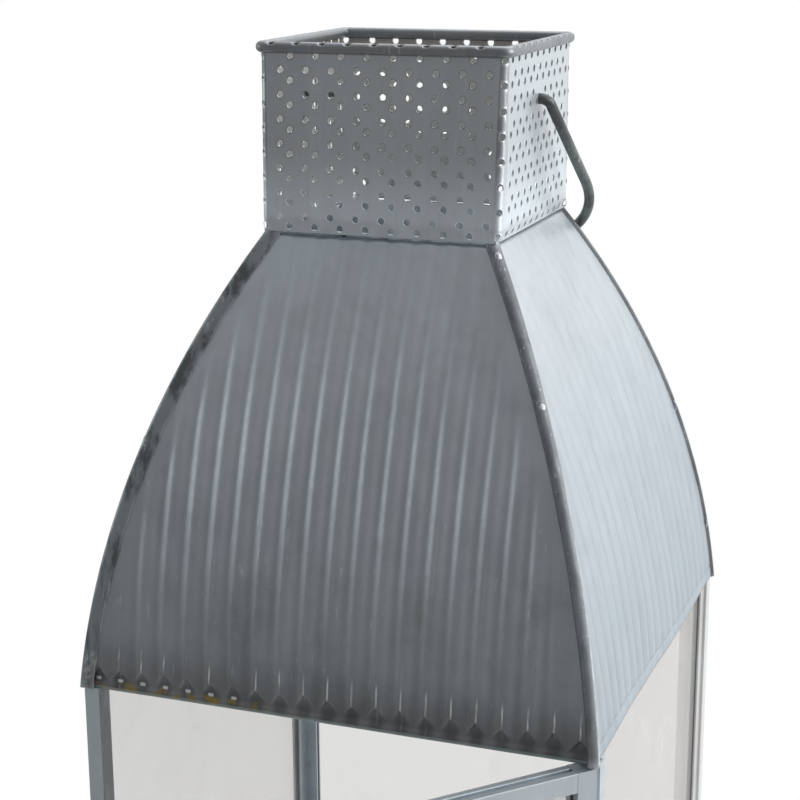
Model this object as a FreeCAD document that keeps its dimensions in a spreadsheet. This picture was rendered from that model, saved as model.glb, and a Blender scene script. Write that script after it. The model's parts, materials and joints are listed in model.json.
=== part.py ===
"""Candle lantern in sheet zinc: glazed body with one door, corrugated roof and a perforated chimney.

Frame: millimetres, +Z up, -Y the door side, origin at the middle of the base pan's underside.
The door stands open and the bail lies back on the roof; both are placed by their own angles.
"""
import FreeCAD, Part
import math
import os

import Sketcher
from FreeCAD import Placement, Rotation, Vector

UP = Vector(0, 0, 1)
ALONG_X = Vector(1, 0, 0)

# name, millimetres (degrees where the name says so), what it is
SIZES = [
    ("eave_half", 125.6, "half width of the roof at the eave, over the hip beads"),
    ("body_height", 330.0, "underside of the base to the eave"),
    ("roof_height", 210.0, "eave to the neck"),
    ("neck_half", 56.1, "half width of the roof at the neck"),
    ("roof_arc_radius", 485.0, "bow of every roof panel"),
    ("sheet", 0.8, "zinc sheet"),
    ("rib_pitch", 11.68, "one roof corrugation"),
    ("rib_height", 1.2, "crest to trough of a corrugation"),
    ("bead_proud", 1.6, "hip bead above the crests of the panels"),
    ("seam_gap", 0.1, "between a panel's edge and its hip bead"),
    ("collar_width", 4.2, "flat flange that carries the chimney"),
    ("crease_rise", 5.5, "neck to the crease round the chimney"),
    ("crease_spread_x", 1.6, "chimney wider at the crease than at the neck, each side"),
    ("crease_tuck_y", 0.3, "chimney shallower at the crease than at the neck, each side"),
    ("rim_spread_x", 1.3, "chimney wider under the rim roll than at the crease, each side"),
    ("rim_tuck_y", 4.5, "chimney shallower under the rim roll than at the crease, each side"),
    ("chimney_height", 80.6, "neck to the underside of the rim roll"),
    ("fold_radius", 3.5, "outside radius of the chimney's upright folds"),
    ("roll_diameter", 5.2, "rolled rim of the chimney"),
    ("roll_corner_radius", 5.0, "rim roll's centre line at a corner"),
    ("hole_diameter", 3.3, "punched vent holes"),
    ("hole_step_front", 12.46, "vent holes sideways, front and back"),
    ("hole_step_side", 9.6, "vent holes sideways, left and right"),
    ("hole_step_up", 11.03, "vent holes upwards, within one grid"),
    ("grid_lift", 4.6, "second grid of holes above the first"),
    ("grid_shift_front", 7.66, "second grid sideways, front and back"),
    ("grid_shift_side", 4.4, "second grid sideways, left and right"),
    ("first_row_rise", 2.5, "neck to the lowest row of holes"),
    ("hole_land", 0.3, "sheet left between a hole and a fold's bend"),
    ("post_inset", 2.0, "posts inside the roof's eave"),
    ("post_width", 8.5, "square corner of a glazed post"),
    ("latch_post_width", 7.4, "face of the post that the door shuts beside"),
    ("latch_post_depth", 10.0, "depth of that post"),
    ("flange_reach", 6.0, "glazing channel beyond the post's corner"),
    ("pane_inset", 4.6, "middle of a fixed pane inside the posts' outer face"),
    ("glass_thickness", 2.0, "every pane"),
    ("glass_play", 0.2, "slot beyond the glass, each side"),
    ("glass_bite", 4.0, "glass inside a slot"),
    ("outer_lip", 0.7, "rail outside the glass slot"),
    ("inner_lip", 1.2, "rail inside the glass slot"),
    ("channel_lip", 1.6, "post channel each side of the slot"),
    ("header_height", 5.6, "top rails, hidden behind the eave"),
    ("sill_height", 19.0, "bottom rails above the floor"),
    ("front_sill_height", 31.0, "door's threshold and stop"),
    ("front_sill_depth", 4.8, "threshold strip front to back"),
    ("pan_inset", 0.6, "base pan inside the roof's eave"),
    ("pan_height", 22.0, "base pan's upturned wall"),
    ("pan_sheet", 1.0, "base pan's sheet"),
    ("door_thickness", 9.4, "door frame front to back"),
    ("stile_width", 9.5, "door stiles, seen from the front"),
    ("rail_height", 9.2, "door rails, seen from the front"),
    ("door_drop", 1.5, "door's top below the eave"),
    ("door_lift", 24.0, "door's bottom above the ground"),
    ("door_side_gap", 0.6, "door to the latch post"),
    ("door_edge_inset", 0.2, "door's hinge edge inside the posts' outer face"),
    ("door_stop_gap", 0.4, "shut door to the hinge post and the threshold"),
    ("groove_width", 2.6, "groove along the top of the door"),
    ("groove_depth", 2.0, "depth of that groove"),
    ("door_open_degrees", 48.0, "how far the door stands open"),
    ("hinge_inset_x", 1.2, "hinge axis inside the posts' outer face"),
    ("hinge_inset_y", 1.7, "hinge axis behind the shut door's face"),
    ("pin_radius", 1.2, "hinge pins"),
    ("pin_play", 0.05, "hinge pin in its eye, radial"),
    ("pin_seat", 8.0, "hinge pin inside the stile"),
    ("eye_wall", 1.2, "metal round a hinge eye"),
    ("eye_plate", 0.8, "thickness of a hinge eye"),
    ("eye_gap", 0.3, "hinge eye to the door's end"),
    ("knob_height", 165.0, "knob above the ground"),
    ("knob_radius", 6.0, "knob's ball"),
    ("knob_stem", 5.0, "face of the door to the ball"),
    ("latch_height", 200.0, "turn button's rivet above the ground"),
    ("latch_reach", 18.0, "turn button, rivet to its far end"),
    ("latch_tail", 6.0, "turn button, rivet to its near end"),
    ("latch_width", 7.0, "turn button across"),
    ("latch_sheet", 1.2, "turn button's strip"),
    ("latch_gap", 0.35, "washer gap in front of and behind the turn button"),
    ("rivet_radius", 1.5, "rivet shank"),
    ("rivet_head_radius", 3.2, "rivet head"),
    ("rivet_head", 1.3, "rivet head's thickness"),
    ("rivet_play", 0.08, "turn button on its rivet, radial"),
    ("rivet_seat", 3.0, "rivet inside the post"),
    ("bail_diameter", 5.0, "handle wire"),
    ("bail_play", 0.08, "handle wire in its hole, radial"),
    ("bail_drop", 22.0, "underside of the rim roll to the bail's axis"),
    ("bail_reach", 114.0, "bail's axis to the middle of the grip"),
    ("bail_stand_off", 3.9, "arms, carried on to the axis, outside the chimney's widest line"),
    ("bail_hole_land", 0.6, "sheet left between the bail's hole and a vent hole"),
    ("bail_splay", 0.12, "arm's outward run for each millimetre of reach"),
    ("bail_bow_radius", 48.0, "bends at the grip"),
    ("bail_root_radius", 4.5, "bends beside the chimney"),
    ("bail_end", 17.0, "wire inside the chimney"),
    ("bail_rest_gap", 0.4, "handle wire to the hip beads when the bail lies back"),
    ("dish_radius", 55.0, "candle dish"),
    ("dish_height", 9.0, "dish's rim above its floor"),
    ("dish_flare", 5.0, "rim's outward lean"),
    ("cup_radius", 31.0, "inside of the candle cup"),
    ("cup_height", 16.0, "candle cup"),
]

# Distances from the centre line that follow from the sizes above
FOLLOWING = {
    "frame_half": "( eave_half - post_inset )",
    "pan_half": "( eave_half - pan_inset )",
    "pane_plane": "( eave_half - post_inset - pane_inset )",
    "crease_half_x": "( neck_half + crease_spread_x )",
    "crease_half_y": "( neck_half - crease_tuck_y )",
    "rim_half_x": "( neck_half + crease_spread_x + rim_spread_x )",
    "rim_half_y": "( neck_half - crease_tuck_y - rim_tuck_y )",
    "bail_root_half": "( neck_half + crease_spread_x + rim_spread_x + bail_stand_off )",
}

doc = FreeCAD.newDocument("CandleLantern")
sheet = doc.addObject("Spreadsheet::Sheet", "Sizes")
for row, (alias, value, note) in enumerate(SIZES, start=1):
    sheet.set("A%d" % row, alias)
    sheet.set("B%d" % row, str(value))
    sheet.setAlias("B%d" % row, alias)
    sheet.set("C%d" % row, note)
doc.recompute()

NAMES = {alias for alias, _, _ in SIZES}
parts = []


def size(text):
    """Value of an expression in the sizes' names, such as 'pan_half - pan_sheet'."""
    return float(sheet.evalExpression(bind(text)))


def bind(text):
    """The same expression in the sheet's own cells: every name written as Sizes.name."""
    words = text.replace("(", " ( ").replace(")", " ) ").split()
    spelt_out = " ".join(FOLLOWING.get(word, word) for word in words).split()
    return " ".join("Sizes." + word if word in NAMES else word for word in spelt_out)


def keep(item, label):
    """Name a finished sub-part and put it on the list that is written out."""
    item.Label = label
    parts.append(item)
    return item


def solid_part(shape, label, placement=None):
    """A sub-part whose form is worked out here, such as a bowed and corrugated panel."""
    item = doc.addObject("Part::Feature", label)
    item.Shape = shape
    if placement is not None:
        item.Placement = placement
    return keep(item, label)


# ---------------------------------------------------------------- sketches and bodies

def origin_plane(body, role):
    for feature in body.Origin.OriginFeatures:
        if feature.Role == role:
            return feature
    raise ValueError("no plane " + role)


def outline(body, name, points, level="0", role="XY_Plane"):
    """Closed sketch whose every corner is pinned to the sheet."""
    sketch = body.newObject("Sketcher::SketchObject", name)
    sketch.AttachmentSupport = [(origin_plane(body, role), "")]
    sketch.MapMode = "FlatFace"
    if level != "0":
        sketch.setExpression("AttachmentOffset.Base.z", bind(level))
    corners = [Vector(size(across), size(along), 0) for across, along in points]
    count = len(corners)
    for index, corner in enumerate(corners):
        sketch.addGeometry(Part.LineSegment(corner, corners[(index + 1) % count]), False)
    for index in range(count):
        sketch.addConstraint(Sketcher.Constraint("Coincident", index, 2, (index + 1) % count, 1))
    for index, (across, along) in enumerate(points):
        for kind, text in (("DistanceX", across), ("DistanceY", along)):
            number = sketch.addConstraint(
                Sketcher.Constraint(kind, -1, 1, index, 1, size(text)))
            sketch.setExpression("Constraints[%d]" % number, bind(text))
    return sketch


def rectangle(x_low, x_high, y_low, y_high):
    return [(x_low, y_low), (x_high, y_low), (x_high, y_high), (x_low, y_high)]


def circle(body, name, across, along, radius, level, role="XY_Plane"):
    """Circle whose middle and radius are pinned to the sheet."""
    sketch = body.newObject("Sketcher::SketchObject", name)
    sketch.AttachmentSupport = [(origin_plane(body, role), "")]
    sketch.MapMode = "FlatFace"
    sketch.setExpression("AttachmentOffset.Base.z", bind(level))
    middle = Vector(size(across), size(along), 0)
    sketch.addGeometry(Part.Circle(middle, UP, size(radius)), False)
    for kind, text in (("DistanceX", across), ("DistanceY", along)):
        number = sketch.addConstraint(Sketcher.Constraint(kind, -1, 1, 0, 3, size(text)))
        sketch.setExpression("Constraints[%d]" % number, bind(text))
    number = sketch.addConstraint(Sketcher.Constraint("Radius", 0, size(radius)))
    sketch.setExpression("Constraints[%d]" % number, bind(radius))
    return sketch


def pad(body, sketch, height):
    feature = body.newObject("PartDesign::Pad", sketch.Name + "_pad")
    feature.Profile = sketch
    feature.setExpression("Length", bind(height))
    return feature


def pocket(body, sketch, depth, upwards=False):
    """Cut down from the sketch, or up from it, and make sure that it did cut."""
    doc.recompute()
    before = body.Shape.Volume
    feature = body.newObject("PartDesign::Pocket", sketch.Name + "_pocket")
    feature.Profile = sketch
    feature.Reversed = upwards
    feature.setExpression("Length", bind(depth))
    doc.recompute()
    if body.Shape.Volume >= before - 1e-3:
        raise ValueError("pocket cut nothing in " + body.Label)
    return feature


def prism(label, points, bottom, height, cuts=()):
    """Upright folded member: a padded outline with its slots and grooves cut in."""
    body = doc.addObject("PartDesign::Body", label)
    pad(body, outline(body, label + "_outline", points, bottom), height)
    for number, (cut_points, level, depth, upwards) in enumerate(cuts):
        sketch = outline(body, "%s_cut%d" % (label, number), cut_points, level)
        pocket(body, sketch, depth, upwards)
    return keep(body, label)


ON_AXIS = "0.001"


def turned(label, points):
    """Turned piece: half section (radius, height) spun about Z."""
    body = doc.addObject("PartDesign::Body", label)
    sketch = outline(body, label + "_section", points, role="XZ_Plane")
    feature = body.newObject("PartDesign::Revolution", label + "_turn")
    feature.Profile = sketch
    feature.ReferenceAxis = (sketch, ["V_Axis"])
    feature.Angle = 360.0
    return keep(body, label)


# ---------------------------------------------------------------- base pan and frame

SLOT_LOW = "pane_plane - glass_thickness / 2 - glass_play"
SLOT_HIGH = "pane_plane + glass_thickness / 2 + glass_play"
RAIL_LOW = SLOT_LOW + " - inner_lip"
RAIL_HIGH = SLOT_HIGH + " + outer_lip"
CHANNEL_LOW = SLOT_LOW + " - channel_lip"
CHANNEL_HIGH = SLOT_HIGH + " + channel_lip"
POST_INNER = "frame_half - post_width"
FLANGE_END = "frame_half - post_width - flange_reach"
SLOT_DEPTH = "( glass_bite + glass_play )"
POST_LENGTH = "body_height - pan_sheet"
HINGE_POST_FRONT = "frame_half - door_thickness - door_stop_gap"
HINGE_POST_BACK = HINGE_POST_FRONT + " - post_width"
HINGE_FLANGE_END = HINGE_POST_BACK + " - flange_reach"
LATCH_POST_BACK = "frame_half - latch_post_depth"
LATCH_POST_INNER = "frame_half - latch_post_width"
SILL_TOP = "pan_sheet + sill_height"


def minus(text):
    return "0 - ( %s )" % text


def turn_point(point, quarter_turns):
    """Turn a pair of expressions about the centre by quarter turns."""
    across, along = point
    for _ in range(quarter_turns):
        across, along = minus(along), across
    return across, along


def turn_points(points, quarter_turns):
    return [turn_point(point, quarter_turns) for point in points]


def base_pan():
    inner = "pan_half - pan_sheet"
    prism(
        "base_pan",
        rectangle(minus("pan_half"), "pan_half", minus("pan_half"), "pan_half"),
        "0", "pan_height",
        [(rectangle(minus(inner), inner, minus(inner), inner),
          "pan_height", "pan_height - pan_sheet", False)])


def back_post(label, quarter_turns):
    """L-shaped post: a square corner with a glazing channel along each pane."""
    points = [
        (FLANGE_END, CHANNEL_LOW), (CHANNEL_LOW, CHANNEL_LOW), (CHANNEL_LOW, FLANGE_END),
        (CHANNEL_HIGH, FLANGE_END), (CHANNEL_HIGH, POST_INNER), ("frame_half", POST_INNER),
        ("frame_half", "frame_half"), (POST_INNER, "frame_half"),
        (POST_INNER, CHANNEL_HIGH), (FLANGE_END, CHANNEL_HIGH)]
    slot = rectangle(SLOT_LOW, SLOT_HIGH, FLANGE_END, FLANGE_END + " + " + SLOT_DEPTH)
    other_slot = [(along, across) for across, along in slot]
    cuts = [(turn_points(cut, quarter_turns), "body_height", POST_LENGTH, False)
            for cut in (slot, other_slot)]
    prism(label, turn_points(points, quarter_turns), "pan_sheet", POST_LENGTH, cuts)


def front_right_post():
    """Set back by the door's thickness, because the door shuts in front of it."""
    points = [
        (POST_INNER, minus(HINGE_POST_FRONT)), ("frame_half", minus(HINGE_POST_FRONT)),
        ("frame_half", minus(HINGE_POST_BACK)), (CHANNEL_HIGH, minus(HINGE_POST_BACK)),
        (CHANNEL_HIGH, minus(HINGE_FLANGE_END)), (CHANNEL_LOW, minus(HINGE_FLANGE_END)),
        (CHANNEL_LOW, minus(HINGE_POST_BACK)), (POST_INNER, minus(HINGE_POST_BACK))]
    slot = rectangle(SLOT_LOW, SLOT_HIGH, minus(HINGE_FLANGE_END + " + " + SLOT_DEPTH),
                     minus(HINGE_FLANGE_END))
    prism("front_right_post", points, "pan_sheet", POST_LENGTH,
          [(slot, "body_height", POST_LENGTH, False)])


def front_left_post():
    """The door shuts beside this one; its back face takes the left pane."""
    points = rectangle(minus("frame_half"), minus(LATCH_POST_INNER),
                       minus("frame_half"), minus(LATCH_POST_BACK))
    slot = rectangle(minus(SLOT_HIGH), minus(SLOT_LOW),
                     minus(LATCH_POST_BACK + " + " + SLOT_DEPTH), minus(LATCH_POST_BACK))
    body = prism("front_left_post", points, "pan_sheet", POST_LENGTH,
                 [(slot, "body_height", POST_LENGTH, False)])
    front_hole(body, "rivet_hole", LATCH_X, "latch_height", "rivet_radius",
               "frame_half", "rivet_seat")


def front_hole(body, name, across, up, radius, face, depth):
    """Drill inwards from a face on the door side."""
    pocket(body, circle(body, name, across, up, radius, face, "XZ_Plane"), depth)


LATCH_X = minus("frame_half - latch_post_width / 2")


def rails():
    """Top and bottom rails that hold the three fixed panes, and the plain ones at the front."""
    side_low = minus(RAIL_HIGH)
    pane_low = minus(LATCH_POST_BACK + " + " + SLOT_DEPTH)
    pane_high = FLANGE_END + " + " + SLOT_DEPTH
    for name, turns, low in (("right", 0, minus(HINGE_FLANGE_END)),
                             ("back", 1, minus(FLANGE_END)),
                             ("left", 2, minus(FLANGE_END))):
        high = LATCH_POST_BACK if name == "left" else FLANGE_END
        sill_run = rectangle(RAIL_LOW, RAIL_HIGH, low, high)
        sill_slot = rectangle(SLOT_LOW, SLOT_HIGH, low, high)
        prism(name + "_sill", turn_points(sill_run, turns), "pan_sheet", "sill_height",
              [(turn_points(sill_slot, turns), SILL_TOP, SLOT_DEPTH, False)])
        full = name != "back"
        head_end = RAIL_HIGH if full else RAIL_LOW + " - glass_play"
        head_run = rectangle(RAIL_LOW, RAIL_HIGH, minus(head_end), head_end)
        if name == "back":
            slot_low, slot_high = minus(head_end), head_end
        elif name == "left":
            slot_low, slot_high = minus(pane_high), minus(pane_low)
        else:
            slot_low, slot_high = pane_low, pane_high
        head_slot = rectangle(SLOT_LOW, SLOT_HIGH, slot_low, slot_high)
        prism(name + "_header", turn_points(head_run, turns), "body_height", "header_height",
              [(turn_points(head_slot, turns), "body_height", SLOT_DEPTH, True)])
    head_end = RAIL_LOW + " - glass_play"
    prism("front_header",
          rectangle(minus(head_end), head_end, side_low, minus(RAIL_LOW)),
          "body_height", "header_height")
    prism("front_sill",
          rectangle(minus(LATCH_POST_INNER + " - glass_play"), POST_INNER + " - glass_play",
                    minus(HINGE_POST_FRONT), minus(HINGE_POST_FRONT + " - front_sill_depth")),
          "pan_sheet", "front_sill_height")


def panes():
    """Three fixed panes, standing in the sills' slots."""
    bottom = SILL_TOP + " - glass_bite - glass_play"
    tall = "body_height + glass_bite - ( %s )" % bottom
    low = "pane_plane - glass_thickness / 2"
    high = "pane_plane + glass_thickness / 2"
    far = FLANGE_END + " + glass_bite"
    near_right = minus(HINGE_FLANGE_END + " + glass_bite")
    near_left = minus(LATCH_POST_BACK + " + glass_bite")
    prism("right_glass", rectangle(low, high, near_right, far), bottom, tall)
    prism("left_glass", rectangle(minus(high), minus(low), near_left, far), bottom, tall)
    back_bite = minus(far)
    prism("back_glass", rectangle(back_bite, far, low, high), bottom, tall)


# ---------------------------------------------------------------- door

HINGE_X = "frame_half - hinge_inset_x"
HINGE_Y = minus("frame_half - hinge_inset_y")
DOOR_RIGHT = "frame_half - door_edge_inset"
DOOR_LEFT = minus("frame_half - latch_post_width - door_side_gap")
DOOR_FRONT = minus("frame_half")
DOOR_BACK = minus("frame_half - door_thickness")
DOOR_TOP = "body_height - door_drop"
DOOR_TALL = "body_height - door_drop - door_lift"
DOOR_MIDDLE = "( frame_half - door_thickness / 2 )"
DOOR_SLOT_FRONT = minus(DOOR_MIDDLE + " + glass_thickness / 2 + glass_play")
DOOR_SLOT_BACK = minus(DOOR_MIDDLE + " - glass_thickness / 2 - glass_play")


def door_swing():
    """Turn about the hinge axis from shut to the angle at which the door stands."""
    hinge = Vector(size(HINGE_X), size(HINGE_Y), 0)
    return Placement(Vector(), Rotation(UP, size("door_open_degrees")), hinge)


def door():
    swing = door_swing()
    hinge_inner = DOOR_RIGHT + " - stile_width"
    free_inner = DOOR_LEFT + " + stile_width"
    slot_bottom = "door_lift + rail_height - " + SLOT_DEPTH
    slot_tall = "%s - rail_height + %s - ( %s )" % (DOOR_TOP, SLOT_DEPTH, slot_bottom)
    slot_top = "%s - rail_height + %s" % (DOOR_TOP, SLOT_DEPTH)
    stiles = (
        ("door_hinge_stile", hinge_inner, DOOR_RIGHT, hinge_inner, hinge_inner + " + " + SLOT_DEPTH),
        ("door_free_stile", DOOR_LEFT, free_inner, free_inner + " - " + SLOT_DEPTH, free_inner))
    for label, low, high, slot_low, slot_high in stiles:
        body = prism(label, rectangle(low, high, DOOR_FRONT, DOOR_BACK), "door_lift", DOOR_TALL)
        slot = outline(body, label + "_slot",
                       rectangle(slot_low, slot_high, DOOR_SLOT_FRONT, DOOR_SLOT_BACK), slot_top)
        pocket(body, slot, slot_tall)
        if label == "door_hinge_stile":
            for end, level, upwards in (("top", DOOR_TOP, False), ("bottom", "door_lift", True)):
                seat = circle(body, "pin_seat_" + end, HINGE_X, HINGE_Y, "pin_radius", level)
                pocket(body, seat, "pin_seat", upwards)
        else:
            front_hole(body, "knob_seat", KNOB_X, "knob_height", "knob_radius / 3",
                       "frame_half", "door_thickness / 5")
        body.Placement = swing
    rail = rectangle(free_inner, hinge_inner, DOOR_FRONT, DOOR_BACK)
    slot = rectangle(free_inner, hinge_inner, DOOR_SLOT_FRONT, DOOR_SLOT_BACK)
    groove = rectangle(free_inner, hinge_inner, minus(DOOR_MIDDLE + " + groove_width / 2"),
                       minus(DOOR_MIDDLE + " - groove_width / 2"))
    top_rail = prism("door_top_rail", rail, DOOR_TOP + " - rail_height", "rail_height",
                     [(slot, DOOR_TOP + " - rail_height", SLOT_DEPTH, True),
                      (groove, DOOR_TOP, "groove_depth", False)])
    bottom_rail = prism("door_bottom_rail", rail, "door_lift", "rail_height",
                        [(slot, "door_lift + rail_height", SLOT_DEPTH, False)])
    glass = prism(
        "door_glass",
        rectangle(free_inner + " - glass_bite", hinge_inner + " + glass_bite",
                  minus(DOOR_MIDDLE + " + glass_thickness / 2"),
                  minus(DOOR_MIDDLE + " - glass_thickness / 2")),
        slot_bottom, "%s - rail_height + glass_bite - ( %s )" % (DOOR_TOP, slot_bottom))
    for body in (top_rail, bottom_rail, glass):
        body.Placement = swing
    hinge_pins(swing)
    knob(swing)


def hinge_pins(swing):
    """Pins standing out of the stile's two ends into eyes soldered to the hinge post."""
    spare = "eye_gap + eye_plate"
    pins = (("hinge_pin_top", DOOR_TOP + " - pin_seat"),
            ("hinge_pin_bottom", "door_lift - eye_gap - eye_plate"))
    for label, bottom in pins:
        body = doc.addObject("PartDesign::Body", label)
        section = circle(body, label + "_round", HINGE_X, HINGE_Y, "pin_radius", bottom)
        pad(body, section, "pin_seat + " + spare)
        keep(body, label).Placement = swing
    eye_half = "( pin_radius + pin_play + eye_wall )"
    for label, bottom in (("hinge_eye_top", DOOR_TOP + " + eye_gap"),
                          ("hinge_eye_bottom", "door_lift - eye_gap - eye_plate")):
        body = doc.addObject("PartDesign::Body", label)
        pad(body, outline(body, label + "_arm", eye_outline(eye_half), bottom), "eye_plate")
        hole = circle(body, label + "_hole", HINGE_X, HINGE_Y, "pin_radius + pin_play",
                           bottom + " + eye_plate")
        pocket(body, hole, "eye_plate")
        keep(body, label)


def eye_outline(half):
    """Flat arm with a cut-cornered nose round the pin."""
    left = HINGE_X + " - " + half
    right = HINGE_X + " + " + half
    nose = HINGE_Y + " - " + half
    shoulder = nose + " + %s * 0.6" % half
    trim = " %s * 0.6" % half
    return [
        (left, minus(HINGE_POST_FRONT)), (left, shoulder), (left + " +" + trim, nose),
        (right + " -" + trim, nose), (right, shoulder), (right, minus(HINGE_POST_FRONT))]


KNOB_X = DOOR_LEFT + " + stile_width / 2"


def facing_front(across, along, up):
    """Placement that lays a turned piece's axis towards the door side."""
    return Placement(Vector(size(across), size(along), size(up)), Rotation(ALONG_X, 90))


def knob(swing):
    """Small turned knob on the free stile."""
    body = turned("door_knob", [
        (ON_AXIS, minus("door_thickness / 5")), ("knob_radius / 3", minus("door_thickness / 5")),
        ("knob_radius / 3", ON_AXIS), ("knob_radius * 0.8", ON_AXIS),
        ("knob_radius * 0.8", "0.8"), ("knob_radius / 3", "1.4"),
        ("knob_radius / 3", "knob_stem"), ("knob_radius * 0.8", "knob_stem + knob_radius * 0.35"),
        ("knob_radius", "knob_stem + knob_radius * 0.9"),
        ("knob_radius * 0.8", "knob_stem + knob_radius * 1.4"),
        (ON_AXIS, "knob_stem + knob_radius * 1.6")])
    body.Placement = swing.multiply(facing_front(KNOB_X, DOOR_FRONT, "knob_height"))


# ---------------------------------------------------------------- latch

def latch():
    """Turn button on a rivet: hangs down when free, turned level it holds the door."""
    strip_back = "latch_gap"
    body = doc.addObject("PartDesign::Body", "turn_button")
    strip = rectangle(minus("latch_width / 2"), "latch_width / 2",
                      minus("latch_reach"), "latch_tail")
    pad(body, outline(body, "turn_button_strip", strip, strip_back), "latch_sheet")
    hole = circle(body, "turn_button_hole", "0", "0", "rivet_radius + rivet_play",
                       "latch_gap + latch_sheet")
    pocket(body, hole, "latch_sheet")
    keep(body, "turn_button").Placement = facing_front(LATCH_X, DOOR_FRONT, "latch_height")
    head_back = "latch_gap * 2 + latch_sheet"
    rivet = turned("latch_rivet", [
        (ON_AXIS, minus("rivet_seat")), ("rivet_radius", minus("rivet_seat")),
        ("rivet_radius", head_back), ("rivet_head_radius", head_back),
        ("rivet_head_radius * 0.75", head_back + " + rivet_head"),
        (ON_AXIS, head_back + " + rivet_head")])
    rivet.Placement = facing_front(LATCH_X, DOOR_FRONT, "latch_height")


# ---------------------------------------------------------------- roof

class RoofArc:
    """Bow of a roof panel in the plane of its slope: distance from the centre line against height."""

    def __init__(self):
        eave = Vector(size("eave_half"), size("body_height"), 0)
        neck = Vector(size("neck_half"), size("body_height + roof_height"), 0)
        chord = neck - eave
        outward = Vector(chord.y, -chord.x, 0).normalize()
        self.radius = size("roof_arc_radius")
        depth = math.sqrt(self.radius ** 2 - (chord.Length / 2) ** 2)
        self.centre = (eave + neck) * 0.5 - outward * depth
        self.eave = eave.y
        self.neck = neck.y

    def reach(self, height, offset=0.0):
        """Distance from the centre line at a height, for a surface offset from the bead's."""
        rise = height - self.centre.y
        return self.centre.x + math.sqrt((self.radius + offset) ** 2 - rise ** 2)

    def angle(self, height):
        return math.asin((height - self.centre.y) / self.radius)


def roof_block(arc, offset):
    """Everything inside the left and right slopes, offset inwards, endless front to back."""
    levels = [arc.eave, (arc.eave + arc.neck) / 2, arc.neck]
    right = [Vector(arc.reach(level, offset), 0, level) for level in levels]
    left = [Vector(-point.x, 0, point.z) for point in right]
    edges = [
        Part.Arc(*right).toShape(),
        Part.LineSegment(right[2], left[2]).toShape(),
        Part.Arc(left[2], left[1], left[0]).toShape(),
        Part.LineSegment(left[0], right[0]).toShape()]
    face = Part.Face(Part.Wire(edges))
    far = 2 * size("eave_half")
    block = face.extrude(Vector(0, 2 * far, 0))
    block.translate(Vector(0, -far, 0))
    return block


def quarter_turn(shape, turns):
    turned_shape = shape.copy()
    turned_shape.rotate(Vector(), UP, 90 * turns)
    return turned_shape


def wave_edges(start, rise, half_waves, step):
    """Tangent arcs, crest and trough in turn, along Y at one distance from the bow's centre."""
    edges = []
    point = start
    side = 1
    for _ in range(half_waves):
        end = point + Vector(0, step, 0)
        middle = (point + end) * 0.5 + rise * side
        edges.append(Part.Arc(point, middle, end).toShape())
        point = end
        side = -side
    return edges, point


def roof_panel_shape(arc):
    """Right-hand panel: a corrugated strip bent to the bow, mitred inside the hip beads."""
    crest = -size("bead_proud")
    middle = crest - size("rib_height") / 2
    step = size("rib_pitch") / 2
    half_waves = 4 * (int(size("eave_half") / size("rib_pitch")) + 1) + 1
    start_angle = arc.angle(arc.eave) - 0.02
    turn = arc.angle(arc.neck) + 0.03 - start_angle
    outward = Vector(math.cos(start_angle), 0, math.sin(start_angle))
    centre = Vector(arc.centre.x, 0, arc.centre.y)
    shift = Vector(0, -half_waves * step / 2, 0)
    outer_start = centre + outward * (arc.radius + middle) + shift
    inner_start = outer_start - outward * size("sheet")
    rise = outward * (size("rib_height") / 2)
    outer, outer_end = wave_edges(outer_start, rise, half_waves, step)
    inner, inner_end = wave_edges(inner_start, rise, half_waves, step)
    inner.reverse()
    wire = Part.Wire(outer + [Part.LineSegment(outer_end, inner_end).toShape()] + inner
                     + [Part.LineSegment(inner_start, outer_start).toShape()])
    strip = Part.Face(wire).revolve(centre, Vector(0, -1, 0), math.degrees(turn))
    edge_offset = -(bead_depth() + size("seam_gap"))
    return strip.common(quarter_turn(roof_block(arc, edge_offset), 1))


def bead_depth():
    """Hip bead from its outer face to its inner face: proud part, corrugation and sheet."""
    return size("bead_proud") + size("rib_height") + size("sheet") + size("seam_gap")


def hip_bead_shape(arc):
    """Right-back hip: what the thickness of two neighbouring slopes has in common."""
    outer = roof_block(arc, 0.0)
    inner = roof_block(arc, -bead_depth())
    across = outer.cut(inner)
    along = quarter_turn(across, 1)
    far = 2 * size("eave_half")
    quarter = Part.makeBox(far, far, far + arc.neck)
    return across.common(along).common(quarter)


def roof():
    arc = RoofArc()
    panel = roof_panel_shape(arc)
    bead = hip_bead_shape(arc)
    for turns, side in enumerate(("right", "back", "left", "front")):
        solid_part(quarter_turn(panel, turns), "roof_panel_" + side)
    for turns, corner in enumerate(("back_right", "back_left", "front_left", "front_right")):
        solid_part(quarter_turn(bead, turns), "hip_bead_" + corner)
    neck = "body_height + roof_height"
    inner = "neck_half - collar_width"
    prism("neck_collar", rectangle(minus("neck_half"), "neck_half", minus("neck_half"), "neck_half"),
          neck, "sheet",
          [(rectangle(minus(inner), inner, minus(inner), inner), neck + " + sheet", "sheet", False)])


# ---------------------------------------------------------------- chimney

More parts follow.
